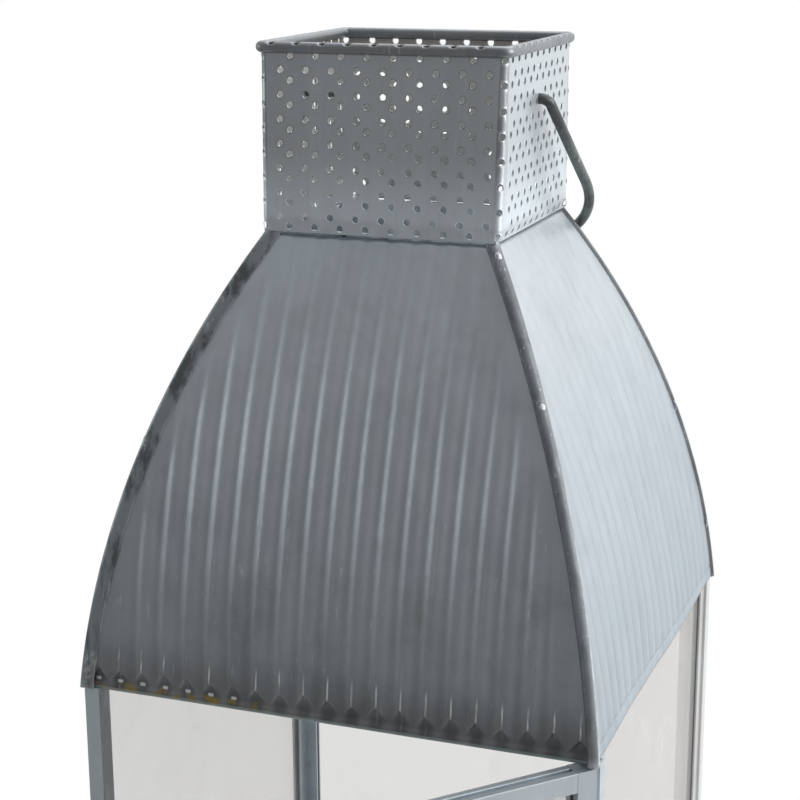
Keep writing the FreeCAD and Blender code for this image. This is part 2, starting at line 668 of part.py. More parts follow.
def round_rectangle(half_x, half_y, radius, height):
    """Rectangle with round corners, anticlockwise from the right side."""
    x_flat = half_x - radius
    y_flat = half_y - radius
    diagonal = radius * math.sqrt(0.5)
    corners = [(x_flat, y_flat), (-x_flat, y_flat), (-x_flat, -y_flat), (x_flat, -y_flat)]
    starts = [(1, 0), (0, 1), (-1, 0), (0, -1)]
    edges = []
    previous = Vector(half_x, -y_flat, height)
    for (corner_x, corner_y), (start_x, start_y) in zip(corners, starts):
        middle = Vector(corner_x, corner_y, height)
        first = middle + Vector(start_x, start_y, 0) * radius
        last = middle + Vector(-start_y, start_x, 0) * radius
        sides = Vector(start_x - start_y, start_y + start_x, 0) * diagonal
        edges.append(Part.LineSegment(previous, first).toShape())
        edges.append(Part.Arc(first, middle + sides, last).toShape())
        previous = last
    return Part.Wire(edges)


def chimney_levels(inset):
    """Three sections: at the collar, at the crease and under the rim roll."""
    neck = size("body_height + roof_height")
    radius = size("fold_radius") - inset
    foot = size("neck_half") - inset
    return [
        round_rectangle(foot, foot, radius, neck + size("sheet")),
        round_rectangle(size("crease_half_x") - inset, size("crease_half_y") - inset, radius,
                        neck + size("crease_rise")),
        round_rectangle(size("rim_half_x") - inset, size("rim_half_y") - inset, radius,
                        neck + size("chimney_height"))]


def chimney_shell():
    outer = chimney_levels(0.0)
    inner = chimney_levels(size("sheet"))
    band = Part.makeLoft(outer[:2], True, True).cut(Part.makeLoft(inner[:2], True, True))
    wall = Part.makeLoft(outer[1:], True, True).cut(Part.makeLoft(inner[1:], True, True))
    return band.fuse(wall)


def hole_rows(step, shift, half_length):
    """Places of the punched holes on one side: two grids, one between the other."""
    lowest = size("body_height + roof_height + first_row_rise")
    top = size("body_height + roof_height + chimney_height")
    rise = size("hole_step_up")
    places = []
    for first_across, first_up in ((step / 2, lowest), (step / 2 + shift, lowest + size("grid_lift"))):
        rows = int((top - first_up) / rise) + 1
        count = int(half_length / step) + 2
        for row in range(rows):
            for column in range(-count, count):
                across = first_across + column * step
                if abs(across) < half_length:
                    places.append((across, first_up + row * rise))
    return places


def drills(places, length):
    """Cylinders pointing to the door side, one for each hole."""
    radius = size("hole_diameter / 2")
    return [Part.makeCylinder(radius, length, Vector(across, 0, up), Vector(0, -1, 0))
            for across, up in places]


def bail_axis():
    return size("body_height + roof_height + chimney_height - bail_drop")


def clear_of_bail(places):
    """Holes that would break into the bail's own hole are left out."""
    keep_off = size("( bail_diameter + hole_diameter ) / 2 + bail_play + bail_hole_land")
    return [(across, up) for across, up in places
            if math.hypot(across, up - bail_axis()) > keep_off]


def fold_drills(length):
    """Holes on the two front folds, level with the lower grid and square to the fold."""
    lowest = size("body_height + roof_height + first_row_rise")
    rise = size("hole_step_up")
    rows = int(size("chimney_height - first_row_rise") / rise) + 1
    tools = []
    for row in range(rows):
        up = lowest + row * rise
        share = (row * rise + size("first_row_rise")) / size("chimney_height")
        half_x = size("crease_half_x") + share * size("rim_spread_x") - size("fold_radius")
        half_y = size("crease_half_y") - share * size("rim_tuck_y") - size("fold_radius")
        for side in (-1, 1):
            tools.append(Part.makeCylinder(size("hole_diameter / 2"), length,
                                           Vector(side * half_x, -half_y, up), Vector(side, -1, 0)))
    return tools


def chimney():
    shell = chimney_shell()
    neck = size("body_height + roof_height")
    tall = 2 * size("chimney_height")
    corner = min(size("rim_half_y"), size("crease_half_y")) - size("fold_radius + hole_land")
    far = 2 * size("crease_half_x")
    front_zone = Part.makeBox(2 * far, far, tall, Vector(-far, -corner - far, neck))
    side_zone = Part.makeBox(far, 2 * corner, tall, Vector(0, -corner, neck))
    front_places = hole_rows(
        size("hole_step_front"), size("grid_shift_front"),
        size("crease_half_x - fold_radius - hole_diameter / 2 - hole_land"))
    side_places = clear_of_bail(
        hole_rows(size("hole_step_side"), size("grid_shift_side"), corner - size("hole_diameter")))
    front_tool = Part.makeCompound(
        drills(front_places, far) + fold_drills(2 * size("fold_radius")))
    side_tool = Part.makeCompound(drills(side_places, far))
    side_tool.rotate(Vector(), UP, 90)
    front = shell.common(front_zone).cut(front_tool)
    bail_hole = Part.makeCylinder(size("bail_diameter / 2 + bail_play"), far,
                                  Vector(0, 0, bail_axis()), ALONG_X)
    right = shell.common(side_zone).cut(side_tool).cut(bail_hole)
    for label, shape, turns in (("chimney_front", front, 0), ("chimney_back", front, 2),
                                ("chimney_right", right, 0), ("chimney_left", right, 2)):
        solid_part(quarter_turn(shape, turns), label)
    rim_roll()


def rim_roll():
    """Top edge of the chimney rolled into a tube."""
    radius = size("roll_diameter / 2")
    height = size("body_height + roof_height + chimney_height") + radius
    path = round_rectangle(size("rim_half_x"), size("rim_half_y"),
                           size("roll_corner_radius"), height)
    start = path.Edges[0].Vertexes[0].Point
    section = Part.Wire(Part.Circle(start, Vector(0, 1, 0), radius).toShape())
    tube = path.makePipeShell([section], True, True)
    solid_part(tube.removeSplitter(), "chimney_rim_roll")


# ---------------------------------------------------------------- bail

def bent_path(points, radii):
    """Straight runs joined by tangent arcs, from corner points and the radius of each bend."""
    edges = []
    start = points[0]
    for index, radius in enumerate(radii, start=1):
        before, corner, after = points[index - 1], points[index], points[index + 1]
        back = (before - corner).normalize()
        ahead = (after - corner).normalize()
        half_angle = back.getAngle(ahead) / 2
        run = radius / math.tan(half_angle)
        centre = corner + (back + ahead).normalize() * (radius / math.sin(half_angle))
        entry = corner + back * run
        leave = corner + ahead * run
        middle = centre + (corner - centre).normalize() * radius
        edges.append(Part.LineSegment(start, entry).toShape())
        edges.append(Part.Arc(entry, middle, leave).toShape())
        start = leave
    edges.append(Part.LineSegment(start, points[-1]).toShape())
    return Part.Wire(edges)


def bail_clearance(wire_points, degrees):
    """Least distance from the wire's middle to the roof, with the bail that far from upright."""
    arc = RoofArc()
    axis = bail_axis()
    lean = math.radians(degrees)
    nearest = math.inf
    for point in wire_points:
        reach = point.z - axis
        height = axis + reach * math.cos(lean)
        if arc.eave < height < arc.neck:
            outside = max(abs(point.x), reach * math.sin(lean)) - arc.reach(height)
            nearest = min(nearest, outside * math.cos(arc.angle(height)))
    return nearest


def bail_rest_degrees(wire_points):
    """Angle from upright at which the bail comes to lie on the back of the roof."""
    wanted = size("bail_diameter / 2 + bail_rest_gap")
    clear, touching = 90.0, 180.0
    for _ in range(40):
        middle = (clear + touching) / 2
        if bail_clearance(wire_points, middle) > wanted:
            clear = middle
        else:
            touching = middle
    return clear


def bail():
    """Bent wire: short ends through the chimney's sides, splayed arms and a rounded grip."""
    axis = bail_axis()
    reach = size("bail_reach")
    root = size("bail_root_half")
    far = root + size("bail_splay") * reach
    end = min(size("rim_half_x"), size("crease_half_x")) - size("bail_end")
    points = [Vector(end, 0, axis), Vector(root, 0, axis), Vector(far, 0, axis + reach),
              Vector(-far, 0, axis + reach), Vector(-root, 0, axis), Vector(-end, 0, axis)]
    bends = [size("bail_root_radius"), size("bail_bow_radius")]
    path = bent_path(points, bends + bends[::-1])
    section = Part.Wire(Part.Circle(points[0], ALONG_X, size("bail_diameter / 2")).toShape())
    wire = path.makePipeShell([section], True, True)
    lean = bail_rest_degrees(path.discretize(300))
    print("bail lies back %.2f degrees from upright" % lean)
    solid_part(wire, "bail", Placement(Vector(), Rotation(ALONG_X, -lean), Vector(0, 0, axis)))


# ---------------------------------------------------------------- candle dish

def candle_dish():
    floor = "pan_sheet"
    turned("candle_dish", [
        (ON_AXIS, floor), ("dish_radius - dish_flare", floor),
        ("dish_radius", floor + " + dish_height"),
        ("dish_radius - sheet", floor + " + dish_height"),
        ("dish_radius - dish_flare - sheet", floor + " + sheet"), (ON_AXIS, floor + " + sheet")])
    cup_floor = floor + " + sheet"
    turned("candle_cup", [
        ("cup_radius", cup_floor), ("cup_radius + sheet", cup_floor),
        ("cup_radius + sheet", cup_floor + " + cup_height"),
        ("cup_radius", cup_floor + " + cup_height")])


base_pan()
back_post("back_right_post", 0)
back_post("back_left_post", 1)
front_right_post()
front_left_post()
rails()
panes()
door()
latch()
roof()
chimney()
bail()
candle_dish()
doc.recompute()

for item in doc.Objects:
    if "Invalid" in item.State or "Error" in item.State:
        raise ValueError("%s did not build: %s" % (item.Label, item.State))
for item in parts:
    shape = item.Shape
    if shape.isNull() or not shape.isValid() or shape.Volume <= 0:
        raise ValueError("%s has no valid shape" % item.Label)

os.makedirs("parts", exist_ok=True)
for item in parts:
    item.Shape.exportStep("parts/%s.step" % item.Label)
print("%d sub-parts" % len(parts))
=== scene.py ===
"""Looks of the candle lantern: corrugated roof, punched chimney, glazed body, door and bail.

Lengths are metres and +Z is up. The door side faces -Y. Every piece is built where it stands at rest.
"""

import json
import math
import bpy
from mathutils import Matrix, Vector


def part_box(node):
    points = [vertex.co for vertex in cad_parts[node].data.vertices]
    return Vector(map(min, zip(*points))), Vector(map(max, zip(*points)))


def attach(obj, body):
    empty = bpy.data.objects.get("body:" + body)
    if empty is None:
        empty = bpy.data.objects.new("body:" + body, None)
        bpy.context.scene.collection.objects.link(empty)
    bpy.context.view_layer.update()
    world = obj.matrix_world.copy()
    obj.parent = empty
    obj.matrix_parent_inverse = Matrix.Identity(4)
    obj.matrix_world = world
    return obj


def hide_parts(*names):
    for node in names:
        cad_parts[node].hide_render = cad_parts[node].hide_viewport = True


bl_info = {
    "name": "Candle lantern",
    "version": (1, 0, 0),
    "blender": (4, 5, 0),
    "location": "View3D > Sidebar > Lantern",
    "description": "Builds the roof, chimney, seams and finishes of a sheet zinc candle lantern",
    "category": "Object",
}

import bpy
import numpy as np
from mathutils import Matrix, Vector, noise

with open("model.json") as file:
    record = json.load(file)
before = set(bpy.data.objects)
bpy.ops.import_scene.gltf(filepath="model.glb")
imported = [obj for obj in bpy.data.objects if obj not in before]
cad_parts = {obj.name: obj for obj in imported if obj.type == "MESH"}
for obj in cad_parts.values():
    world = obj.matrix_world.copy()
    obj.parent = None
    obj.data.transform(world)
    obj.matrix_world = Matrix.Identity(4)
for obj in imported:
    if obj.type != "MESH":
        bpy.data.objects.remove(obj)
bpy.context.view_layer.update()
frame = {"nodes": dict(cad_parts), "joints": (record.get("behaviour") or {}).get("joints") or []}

MM = 0.001
SIDES = ("right", "back", "left", "front")
CORNERS = ("back_right", "back_left", "front_left", "front_right")


def low(node):
    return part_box(node)[0]


def high(node):
    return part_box(node)[1]


# ---- sizes and colours to change

def length(name, description, value_mm):
    return bpy.props.FloatProperty(
        name=name, description=description, default=value_mm * MM, unit="LENGTH", precision=5)


def colour(name, description, value):
    return bpy.props.FloatVectorProperty(
        name=name, description=description, default=value, size=3, subtype="COLOR", min=0, max=1)


class LanternSizes(bpy.types.PropertyGroup):
    bow_radius: length("Roof bow", "Radius to which every roof panel is bent", 485.0)
    rib_pitch: length("Rib pitch", "One corrugation of the roof sheet", 11.68)
    rib_depth: length("Rib depth", "Crest to trough of a corrugation at the eave", 1.9)
    crest_drop: length("Crest drop", "Crests of the sheet below the outside of the hip seams", 1.25)
    hem_height: length("Hem", "Flat hem under the crimped ends of the corrugations", 2.6)
    crimp_height: length("Crimp", "Height of the pressed pocket at the end of each crest", 7.6)
    roof_sheet: length("Roof sheet", "Thickness of the roof sheet", 0.8)
    hole_radius: length("Hole", "Radius of a punched hole", 1.65)
    front_step: length("Front step", "Punched holes sideways, front and back", 12.46)
    side_step: length("Side step", "Punched holes sideways, left and right", 9.6)
    up_step: length("Row step", "Punched holes upwards", 11.03)
    grid_lift: length("Grid lift", "Second grid of holes above the first", 4.6)
    front_shift: length("Front shift", "Second grid of holes sideways, front and back", 7.66)
    side_shift: length("Side shift", "Second grid of holes sideways, left and right", 4.4)
    first_row: length("First row", "Neck to the lowest row of holes", 2.5)
    crease_rise: length("Crease", "Neck to the crease round the chimney", 5.5)
    crease_spread: length("Crease spread", "Chimney wider than its neck at the crease", 1.6)
    crease_tuck: length("Crease tuck", "Chimney shallower than its neck at the crease", 0.3)
    fold_radius: length("Fold", "Outside radius of the chimney's upright folds", 3.5)


class LanternColours(bpy.types.PropertyGroup):
    roof_dark: colour("Roof, dark", "Darkest weathering of the roof", (0.185, 0.198, 0.210))
    roof_light: colour("Roof, light", "Palest weathering of the roof", (0.390, 0.425, 0.455))
    roof_brown: colour("Roof, brown", "Warm patches of the roof", (0.245, 0.235, 0.228))
    # Painted light: the right side of roof and chimney is painted paler with these two, a lit copy of the
    # darker zinc.
    painted_lit_dark: colour("Pale side, dark", "Darkest weathering of the sunny side", (0.335, 0.378, 0.415))
    painted_lit_light: colour("Pale side, light", "Palest weathering of the sunny side", (0.520, 0.570, 0.610))
    frame_dark: colour("Frame, dark", "Darkest weathering of posts and rails", (0.300, 0.350, 0.395))
    frame_light: colour("Frame, light", "Palest weathering of posts and rails", (0.590, 0.665, 0.715))
    chimney_dark: colour("Chimney, dark", "Darkest weathering of the chimney", (0.120, 0.127, 0.136))
    chimney_light: colour("Chimney, light", "Palest weathering of the chimney", (0.300, 0.318, 0.335))
    oxide: colour("White oxide", "Chalky marks on bare zinc", (0.640, 0.690, 0.720))
    solder: colour("Solder", "Bright tin solder", (0.560, 0.580, 0.590))
    flux: colour("Flux", "Yellow flux left along the eave", (0.330, 0.245, 0.075))
    wire: colour("Bail", "Dull grey-green bail wire", (0.115, 0.130, 0.130))
    glass: colour("Glass", "Light that one face of a pane lets through", (0.880, 0.877, 0.874))


# ---- shader maths

class Wire:
    """A shader socket that takes part in sums; every operator adds a Math node."""

    def __init__(self, finish, socket):
        self.finish = finish
        self.socket = socket

    def maths(self, operation, *values):
        return self.finish.node("ShaderNodeMath", {"operation": operation}, dict(enumerate(values)))

    def __add__(self, other):
        return self.maths("ADD", self, other)

    def __radd__(self, other):
        return self.maths("ADD", other, self)

    def __sub__(self, other):
        return self.maths("SUBTRACT", self, other)

    def __rsub__(self, other):
        return self.maths("SUBTRACT", other, self)

    def __mul__(self, other):
        return self.maths("MULTIPLY", self, other)

    def __rmul__(self, other):
        return self.maths("MULTIPLY", other, self)


class Finish:
    """A node material, or the world, under construction."""

    def __init__(self, name, kind="materials"):
        self.owner = getattr(bpy.data, kind).new(name)
        self.owner.use_nodes = True
        self.tree = self.owner.node_tree
        self.tree.nodes.clear()
        self.place = self.node("ShaderNodeTexCoord", out="Object")

    def node(self, kind, settings=None, sockets=None, out=0):
        """Any node: its settings are set first, then the values or links of its sockets."""
        made = self.tree.nodes.new(kind)
        for key, value in (settings or {}).items():
            setattr(made, key, value)
        for key, value in (sockets or {}).items():
            if isinstance(value, Wire):
                self.tree.links.new(value.socket, made.inputs[key])
            else:
                made.inputs[key].default_value = value
        return Wire(self, made.outputs[out])

    def part(self, vector, axis):
        return self.node("ShaderNodeSeparateXYZ", None, {0: vector}, out="XYZ".index(axis))

    def stretched(self, scale):
        """The object's own coordinates, scaled along each axis."""
        return self.node("ShaderNodeVectorMath", {"operation": "MULTIPLY"},
                         {0: self.place, 1: scale})

    def upright(self, share):
        """Coordinates that draw clouds out into upright streaks."""
        return self.stretched((1.0, 1.0, share))

    def mottle(self, scale, detail=4.0, rough=0.55, along=None, twist=0.0):
        """Cloudy noise from 0 to 1; scale is in clouds per metre."""
        return self.node("ShaderNodeTexNoise", None, {
            "Vector": along or self.place, "Scale": scale, "Detail": detail, "Roughness": rough,
            "Distortion": twist})

    def clouds(self, start, end, *how, **more):
        """Cloudy noise, 0 below start and 1 above end."""
        return self.ramp(self.mottle(*how, **more), start, end)

    def mark(self, name, out):
        """What the mesh says under that name."""
        return self.node("ShaderNodeAttribute", {"attribute_name": name}, out=out)

    def facing(self):
        return self.node("ShaderNodeNewGeometry", out="Normal")

    def ramp(self, value, start, end):
        """0 below start, 1 above end and smooth between."""
        return self.node("ShaderNodeMapRange", {"interpolation_type": "SMOOTHSTEP"},
                         {"Value": value, "From Min": start, "From Max": end})

    def band(self, value, start, end, soft):
        """1 between start and end, with soft edges."""
        return self.ramp(value, start - soft, start + soft) * (
            1 - self.ramp(value, end - soft, end + soft))

    def mix(self, amount, first, second):
        """Colour between two colours."""
        return self.node("ShaderNodeMix", {"data_type": "RGBA", "clamp_factor": True},
                         {0: amount, 6: opaque(first), 7: opaque(second)}, out=2)

    def bump(self, height, strength, distance, below=None):
        sockets = {"Height": height, "Strength": strength, "Distance": distance}
        if below is not None:
            sockets["Normal"] = below
        return self.node("ShaderNodeBump", None, sockets)

    def metal(self, base, metallic, roughness, normal, specular=0.5):
        return self.node("ShaderNodeBsdfPrincipled", None, {
            "Base Color": opaque(base), "Metallic": metallic, "Roughness": roughness,
            "Specular IOR Level": specular, "Normal": normal})

    def done(self, shader, kind="ShaderNodeOutputMaterial"):
        self.tree.links.new(shader.socket, self.tree.nodes.new(kind).inputs["Surface"])
        return self.owner


def shade(value, share):
    """A colour times a number: darker below 1, lighter above."""
    return tuple(c * share for c in value)


def opaque(value):
    """A colour with its fourth number; a socket passes unchanged."""
    return value if isinstance(value, Wire) else (*value[:3], 1.0)


def edge_wear(finish):
    """1 along outside edges, from how the surface bends."""
    bend = finish.node("ShaderNodeNewGeometry", out="Pointiness")
    return finish.ramp(bend, 0.515, 0.58)


def scratches(finish, scale, amount):
    """Fine marks in two directions."""
    lines = finish.mottle(scale, 2.0, 0.5, finish.upright(0.045))
    cross = finish.mottle(scale * 0.8, 2.0, 0.5, finish.stretched((0.05, 0.05, 1.0)))
    return (finish.ramp(lines, 0.66, 0.74) + finish.ramp(cross, 0.76, 0.83) * 0.6) * amount


def weathered_zinc(name, colours, dark, light, brown, chalk, metallic, rough, streaks, extra):
    """Dull blue-grey sheet zinc: clouds, runs, chalky bloom, fine scratches and rubbed edges."""
    finish = Finish(name)
    oxide = colours.oxide
    cloud = finish.mottle(9.0, 5.0, 0.6, twist=0.6)
    patch = finish.mottle(31.0, 6.0, 0.65)
    fine = finish.mottle(240.0, 4.0, 0.6)
    runs = finish.mottle(70.0, 3.0, 0.55, finish.upright(0.07))
    tone = finish.ramp(cloud * 0.45 + patch * 0.35 + runs * streaks * 0.5, 0.28, 0.62)
    base = finish.mix(tone, dark, light)
    base = finish.mix(finish.ramp(patch * 0.6 + cloud * 0.5, 0.56, 0.72) * 0.55, base, brown)
    bloom = finish.clouds(0.60, 0.78, 52.0, 7.0, 0.7, twist=1.1) * chalk
    base = finish.mix(bloom, base, oxide)
    specks = finish.clouds(0.67, 0.74, 820.0, 2.0, 0.5) * 0.45
    base = finish.mix(specks, base, oxide)
    marks = scratches(finish, 460.0, 0.35)
    base = finish.mix(marks, base, oxide)
    wear = edge_wear(finish)
    base = finish.mix(wear * 0.6, base, oxide)
    gloss = rough + (fine - 0.5) * 0.22 + bloom * 0.25 - wear * 0.1 + (cloud - 0.5) * 0.18
    height = fine * 0.35 + patch * 0.5 + marks * -0.3 + runs * 0.25
    normal = finish.bump(height, 0.35, 0.0006)
    if extra is not None:
        base, gloss, normal = extra(finish, colours, base, gloss, normal)
    return finish.done(finish.metal(base, metallic - bloom * 0.3, gloss, normal))


def eave_marks(finish, colours, base, gloss, normal):
    """What the roof sheet shows: painted light that makes it paler towards the top; near the eave flux,
    painted shade in the pressed pockets, bright crests that are rubbed and carry a painted highlight, and
    solder dots.
    """
    spot = finish.mark("sheet_place", "Vector")
    across = finish.part(spot, "X")
    rise = finish.part(spot, "Y")
    crest = finish.part(spot, "Z")
    soft = finish.clouds(0.35, 0.68, 26.0, 5.0, 0.6, twist=0.8)
    # Painted light: the sheet is painted paler towards the top.
    bloom = finish.ramp(rise, -0.03, 0.25) * (0.68 + soft * 0.28)
    base = finish.mix(bloom, base, (0.60, 0.665, 0.72))
    grime = (1 - finish.ramp(rise, 0.004, 0.030)) * (0.35 + soft * 0.4)
    base = finish.mix(grime, base, shade(colours.roof_brown, 0.55))
    # Painted shade: the pressed pockets at the ends of the crests are darkened.
    pocket = (1 - finish.ramp(rise, 0.0035, 0.0095)) * (1 - finish.ramp(crest, 0.10, 0.42))
    base = finish.mix(pocket * 0.55, base, shade(colours.roof_dark, 0.35))
    # Near-white line on each crest just above its pocket: rubbed metal with a painted highlight.
    rub_and_glint = (1 - finish.ramp(crest, 0.015, 0.050)) * finish.band(rise, 0.0102, 0.020, 0.0030)
    worn = finish.clouds(0.38, 0.52, 95.0, 3.0, 0.6, finish.upright(0.22))
    base = finish.mix(rub_and_glint * worn, base, (0.86, 0.89, 0.90))
    long_rub = (1 - finish.ramp(crest, 0.015, 0.06)) * (
        1 - finish.ramp(rise, 0.05, 0.15)) * finish.clouds(
            0.52, 0.68, 60.0, 4.0, 0.6, finish.upright(0.35))
    base = finish.mix(long_rub * 0.35, base, colours.oxide)
    dribble = finish.clouds(0.50, 0.60, 210.0, 4.0, 0.6)
    yellow = (1 - finish.ramp(rise, 0.0022, 0.0052)) * dribble * (
        1 - finish.ramp(across, -0.055, 0.0)) * 0.95
    base = finish.mix(yellow, base, colours.flux)
    dots = finish.band(rise, 0.0034, 0.0048, 0.0004) * (1 - finish.ramp(crest, 0.08, 0.14)) * (
        1 - finish.ramp(across, -0.048, -0.040))
    base = finish.mix(dots, base, (0.93, 0.94, 0.94))
    edge = (1 - finish.ramp(rise, 0.0003, 0.0010)) * 0.55
    base = finish.mix(edge, base, (0.42, 0.50, 0.49))
    return base, gloss + grime * 0.15 - dots * 0.2, normal


def thin_hem_line(finish, colours, base, gloss, normal):
    """The pale side, painted paler as painted light: painted shade in a thin dark line along the fold
    over its plain hem and on the rolled hem, paler towards the top, and faint runs down the sheet.
    """
    spot = finish.mark("sheet_place", "Vector")
    rise = finish.part(spot, "Y")
    # Painted shade: a thin dark line along the fold above the hem.
    fold_shade = finish.band(rise, 0.0052, 0.0061, 0.0003)
    base = finish.mix(fold_shade * 0.6, base, colours.roof_brown)
    # Painted shade on the rolled hem at the very bottom.
    under = (1 - finish.ramp(rise, 0.0002, 0.0009)) * 0.75
    base = finish.mix(under, base, colours.chimney_dark)
    # Painted light: the sheet is mixed towards a paler blue-grey higher up.
    base = finish.mix(0.55, base, finish.mix(
        finish.ramp(rise, 0.02, 0.30), (0.37, 0.43, 0.485), (0.68, 0.725, 0.745)))
    trough = finish.ramp(finish.part(spot, "Z"), 0.22, 0.46)
    lines = finish.mottle(150.0, 3.0, 0.6, finish.upright(0.03))
    runs = (1 - finish.ramp(rise, 0.05, 0.26)) * trough * 0.16 + finish.ramp(lines, 0.52, 0.7) * 0.12
    return finish.mix(runs, base, (0.20, 0.25, 0.29)), gloss, normal


def darker_below(finish, colours, base, gloss, normal):
    """The chimney: grime under the crease, a pale foot, and light metal inside that darkens upwards."""
    foot = low("neck_collar").z
    height = finish.part(finish.place, "Z")
    band = (1 - finish.ramp(height, foot + 0.0045, foot + 0.0085)) * finish.clouds(
        0.30, 0.62, 85.0, 5.0, 0.6)
    streak = finish.clouds(0.35, 0.68, 120.0, 4.0, 0.65, finish.upright(0.09))
    low_down = 1 - finish.ramp(height, foot + 0.006, foot + 0.042)
    base = finish.mix(low_down * (0.72 + streak * 0.28), base, (0.74, 0.82, 0.88))
    base = finish.mix(streak * 0.22, base, colours.oxide)
    base = finish.mix(band * 0.22, base, colours.roof_brown)
    crease = finish.band(height, foot + 0.0051, foot + 0.0062, 0.0005)
    base = finish.mix(crease * 0.5, base, colours.oxide)
    flat = finish.node("ShaderNodeVectorMath", {"operation": "MULTIPLY"},
                       {0: finish.place, 1: (1, 1, 0)})
    facing = finish.node("ShaderNodeVectorMath", {"operation": "DOT_PRODUCT"}, {
        0: flat, 1: finish.facing()}, out="Value")
    inside = 1 - finish.ramp(facing, -0.030, -0.010)
    sooty = finish.ramp(height, foot + 0.070, foot + 0.084)
    lining = finish.mix(sooty, (0.74, 0.735, 0.72), (0.30, 0.27, 0.25))
    base = finish.mix(inside * 0.9, base, lining)
    return base, gloss, normal


def painted_light_to_the_right(finish, colours, base, gloss, normal):
    """Hip seams: paler where they face right, as painted light, and dark elsewhere, as painted shade."""
    facing = finish.part(finish.facing(), "X")
    # pale is the painted light colour of the faces that point right.
    pale = finish.mix(finish.clouds(0.3, 0.7, 70.0, 5.0, 0.6),
                      colours.painted_lit_dark, colours.oxide)
    gap = finish.clouds(0.45, 0.65, 110.0, 4.0, 0.6, finish.upright(0.2))
    base = finish.mix(gap * 0.5, base, shade(colours.roof_dark, 0.5))
    # Painted light on the faces that point right.
    facing = finish.ramp(facing, 0.86, 0.985)
    return finish.mix(facing, base, pale), gloss + facing * 0.2, normal


def soldered_foot(finish, colours, base, gloss, normal):
    """Dark hip seams: long dark streaks, with rough solder and flux near the eave."""
    height = finish.part(finish.place, "Z")
    streak = finish.clouds(0.42, 0.62, 150.0, 4.0, 0.65, finish.upright(0.10))
    base = finish.mix(streak * 0.7, base, shade(colours.roof_dark, 0.3))
    eave = low("hip_bead_back_right").z
    foot = finish.band(height, eave + 0.0035, eave + 0.0180, 0.002)
    rough_tin = foot * finish.clouds(0.47, 0.62, 420.0, 5.0, 0.7)
    base = finish.mix(rough_tin * 0.7, base, colours.solder)
    stain = foot * finish.clouds(0.60, 0.68, 260.0, 4.0, 0.6)
    return finish.mix(stain * 0.8, base, colours.flux), gloss, normal


def shaded_inner_side(finish, colours, base, gloss, normal):
    """A post by the door: painted paler all over as painted light, with painted shade in upright streaks
    on the side towards the candle.
    """
    facing = finish.part(finish.facing(), "X")
    # Painted shade on the side towards the candle, in upright streaks.
    painted_shade = finish.ramp(facing, 0.35, 0.75) * finish.clouds(
        0.15, 0.5, 60.0, 4.0, 0.6, finish.upright(0.25))
    # Painted light: the whole post is mixed half-way to a pale blue-grey.
    base = finish.mix(0.5, base, (0.66, 0.74, 0.78))
    return finish.mix(painted_shade * 0.9, base, shade(colours.roof_dark, 0.5)), gloss, normal


def bail_finish(colours):
    finish = Finish("bail_wire")
    cloud = finish.mottle(60.0, 5.0, 0.6)
    rust = finish.clouds(0.60, 0.75, 140.0, 5.0, 0.65)
    base = finish.mix(finish.ramp(cloud, 0.35, 0.7), shade(colours.wire, 0.65),
                      shade(colours.wire, 1.7))
    base = finish.mix(rust * 0.35, base, (0.16, 0.10, 0.06))
    base = finish.mix(scratches(finish, 500.0, 0.5), base, colours.oxide)
    normal = finish.bump(cloud + finish.mottle(420.0, 3.0) * 0.6, 0.4, 0.0005)
    return finish.done(finish.metal(base, 0.75, 0.34 + cloud * 0.25, normal))


def solder_finish(colours):
    finish = Finish("solder")
    cloud = finish.mottle(210.0, 5.0, 0.65)
    base = finish.mix(finish.ramp(cloud, 0.35, 0.65), colours.roof_light, colours.solder)
    base = finish.mix(finish.clouds(0.56, 0.66, 330.0, 3.0) * 0.6, base, colours.roof_dark)
    normal = finish.bump(cloud, 0.6, 0.0008)
    return finish.done(finish.metal(base, 0.8, 0.30 + cloud * 0.3, normal))


def steel_finish(colours):
    finish = Finish("hinge_steel")
    cloud = finish.mottle(120.0, 5.0, 0.6)
    base = finish.mix(finish.ramp(cloud, 0.3, 0.7), (0.12, 0.115, 0.11), (0.34, 0.34, 0.34))
    base = finish.mix(finish.clouds(0.6, 0.7, 260.0, 4.0) * 0.6, base, (0.20, 0.10, 0.05))
    base = finish.mix(edge_wear(finish) * 0.6, base, colours.oxide)
    normal = finish.bump(cloud + finish.mottle(700.0, 2.0) * 0.5, 0.35, 0.0004)
    return finish.done(finish.metal(base, 0.85, 0.32 + cloud * 0.25, normal))


def knob_finish(colours):
    finish = Finish("knob_metal")
    cloud = finish.mottle(160.0, 4.0, 0.6)
    rings = finish.mottle(900.0, 2.0, 0.5, finish.stretched((0.2, 1.0, 0.2)))
    base = finish.mix(finish.ramp(cloud, 0.3, 0.7), (0.20, 0.205, 0.205), (0.48, 0.50, 0.50))
    base = finish.mix(finish.ramp(rings, 0.6, 0.72) * 0.35, base, colours.roof_dark)
    normal = finish.bump(rings + cloud * 0.5, 0.25, 0.0003)
    return finish.done(finish.metal(base, 0.9, 0.24 + cloud * 0.2, normal))


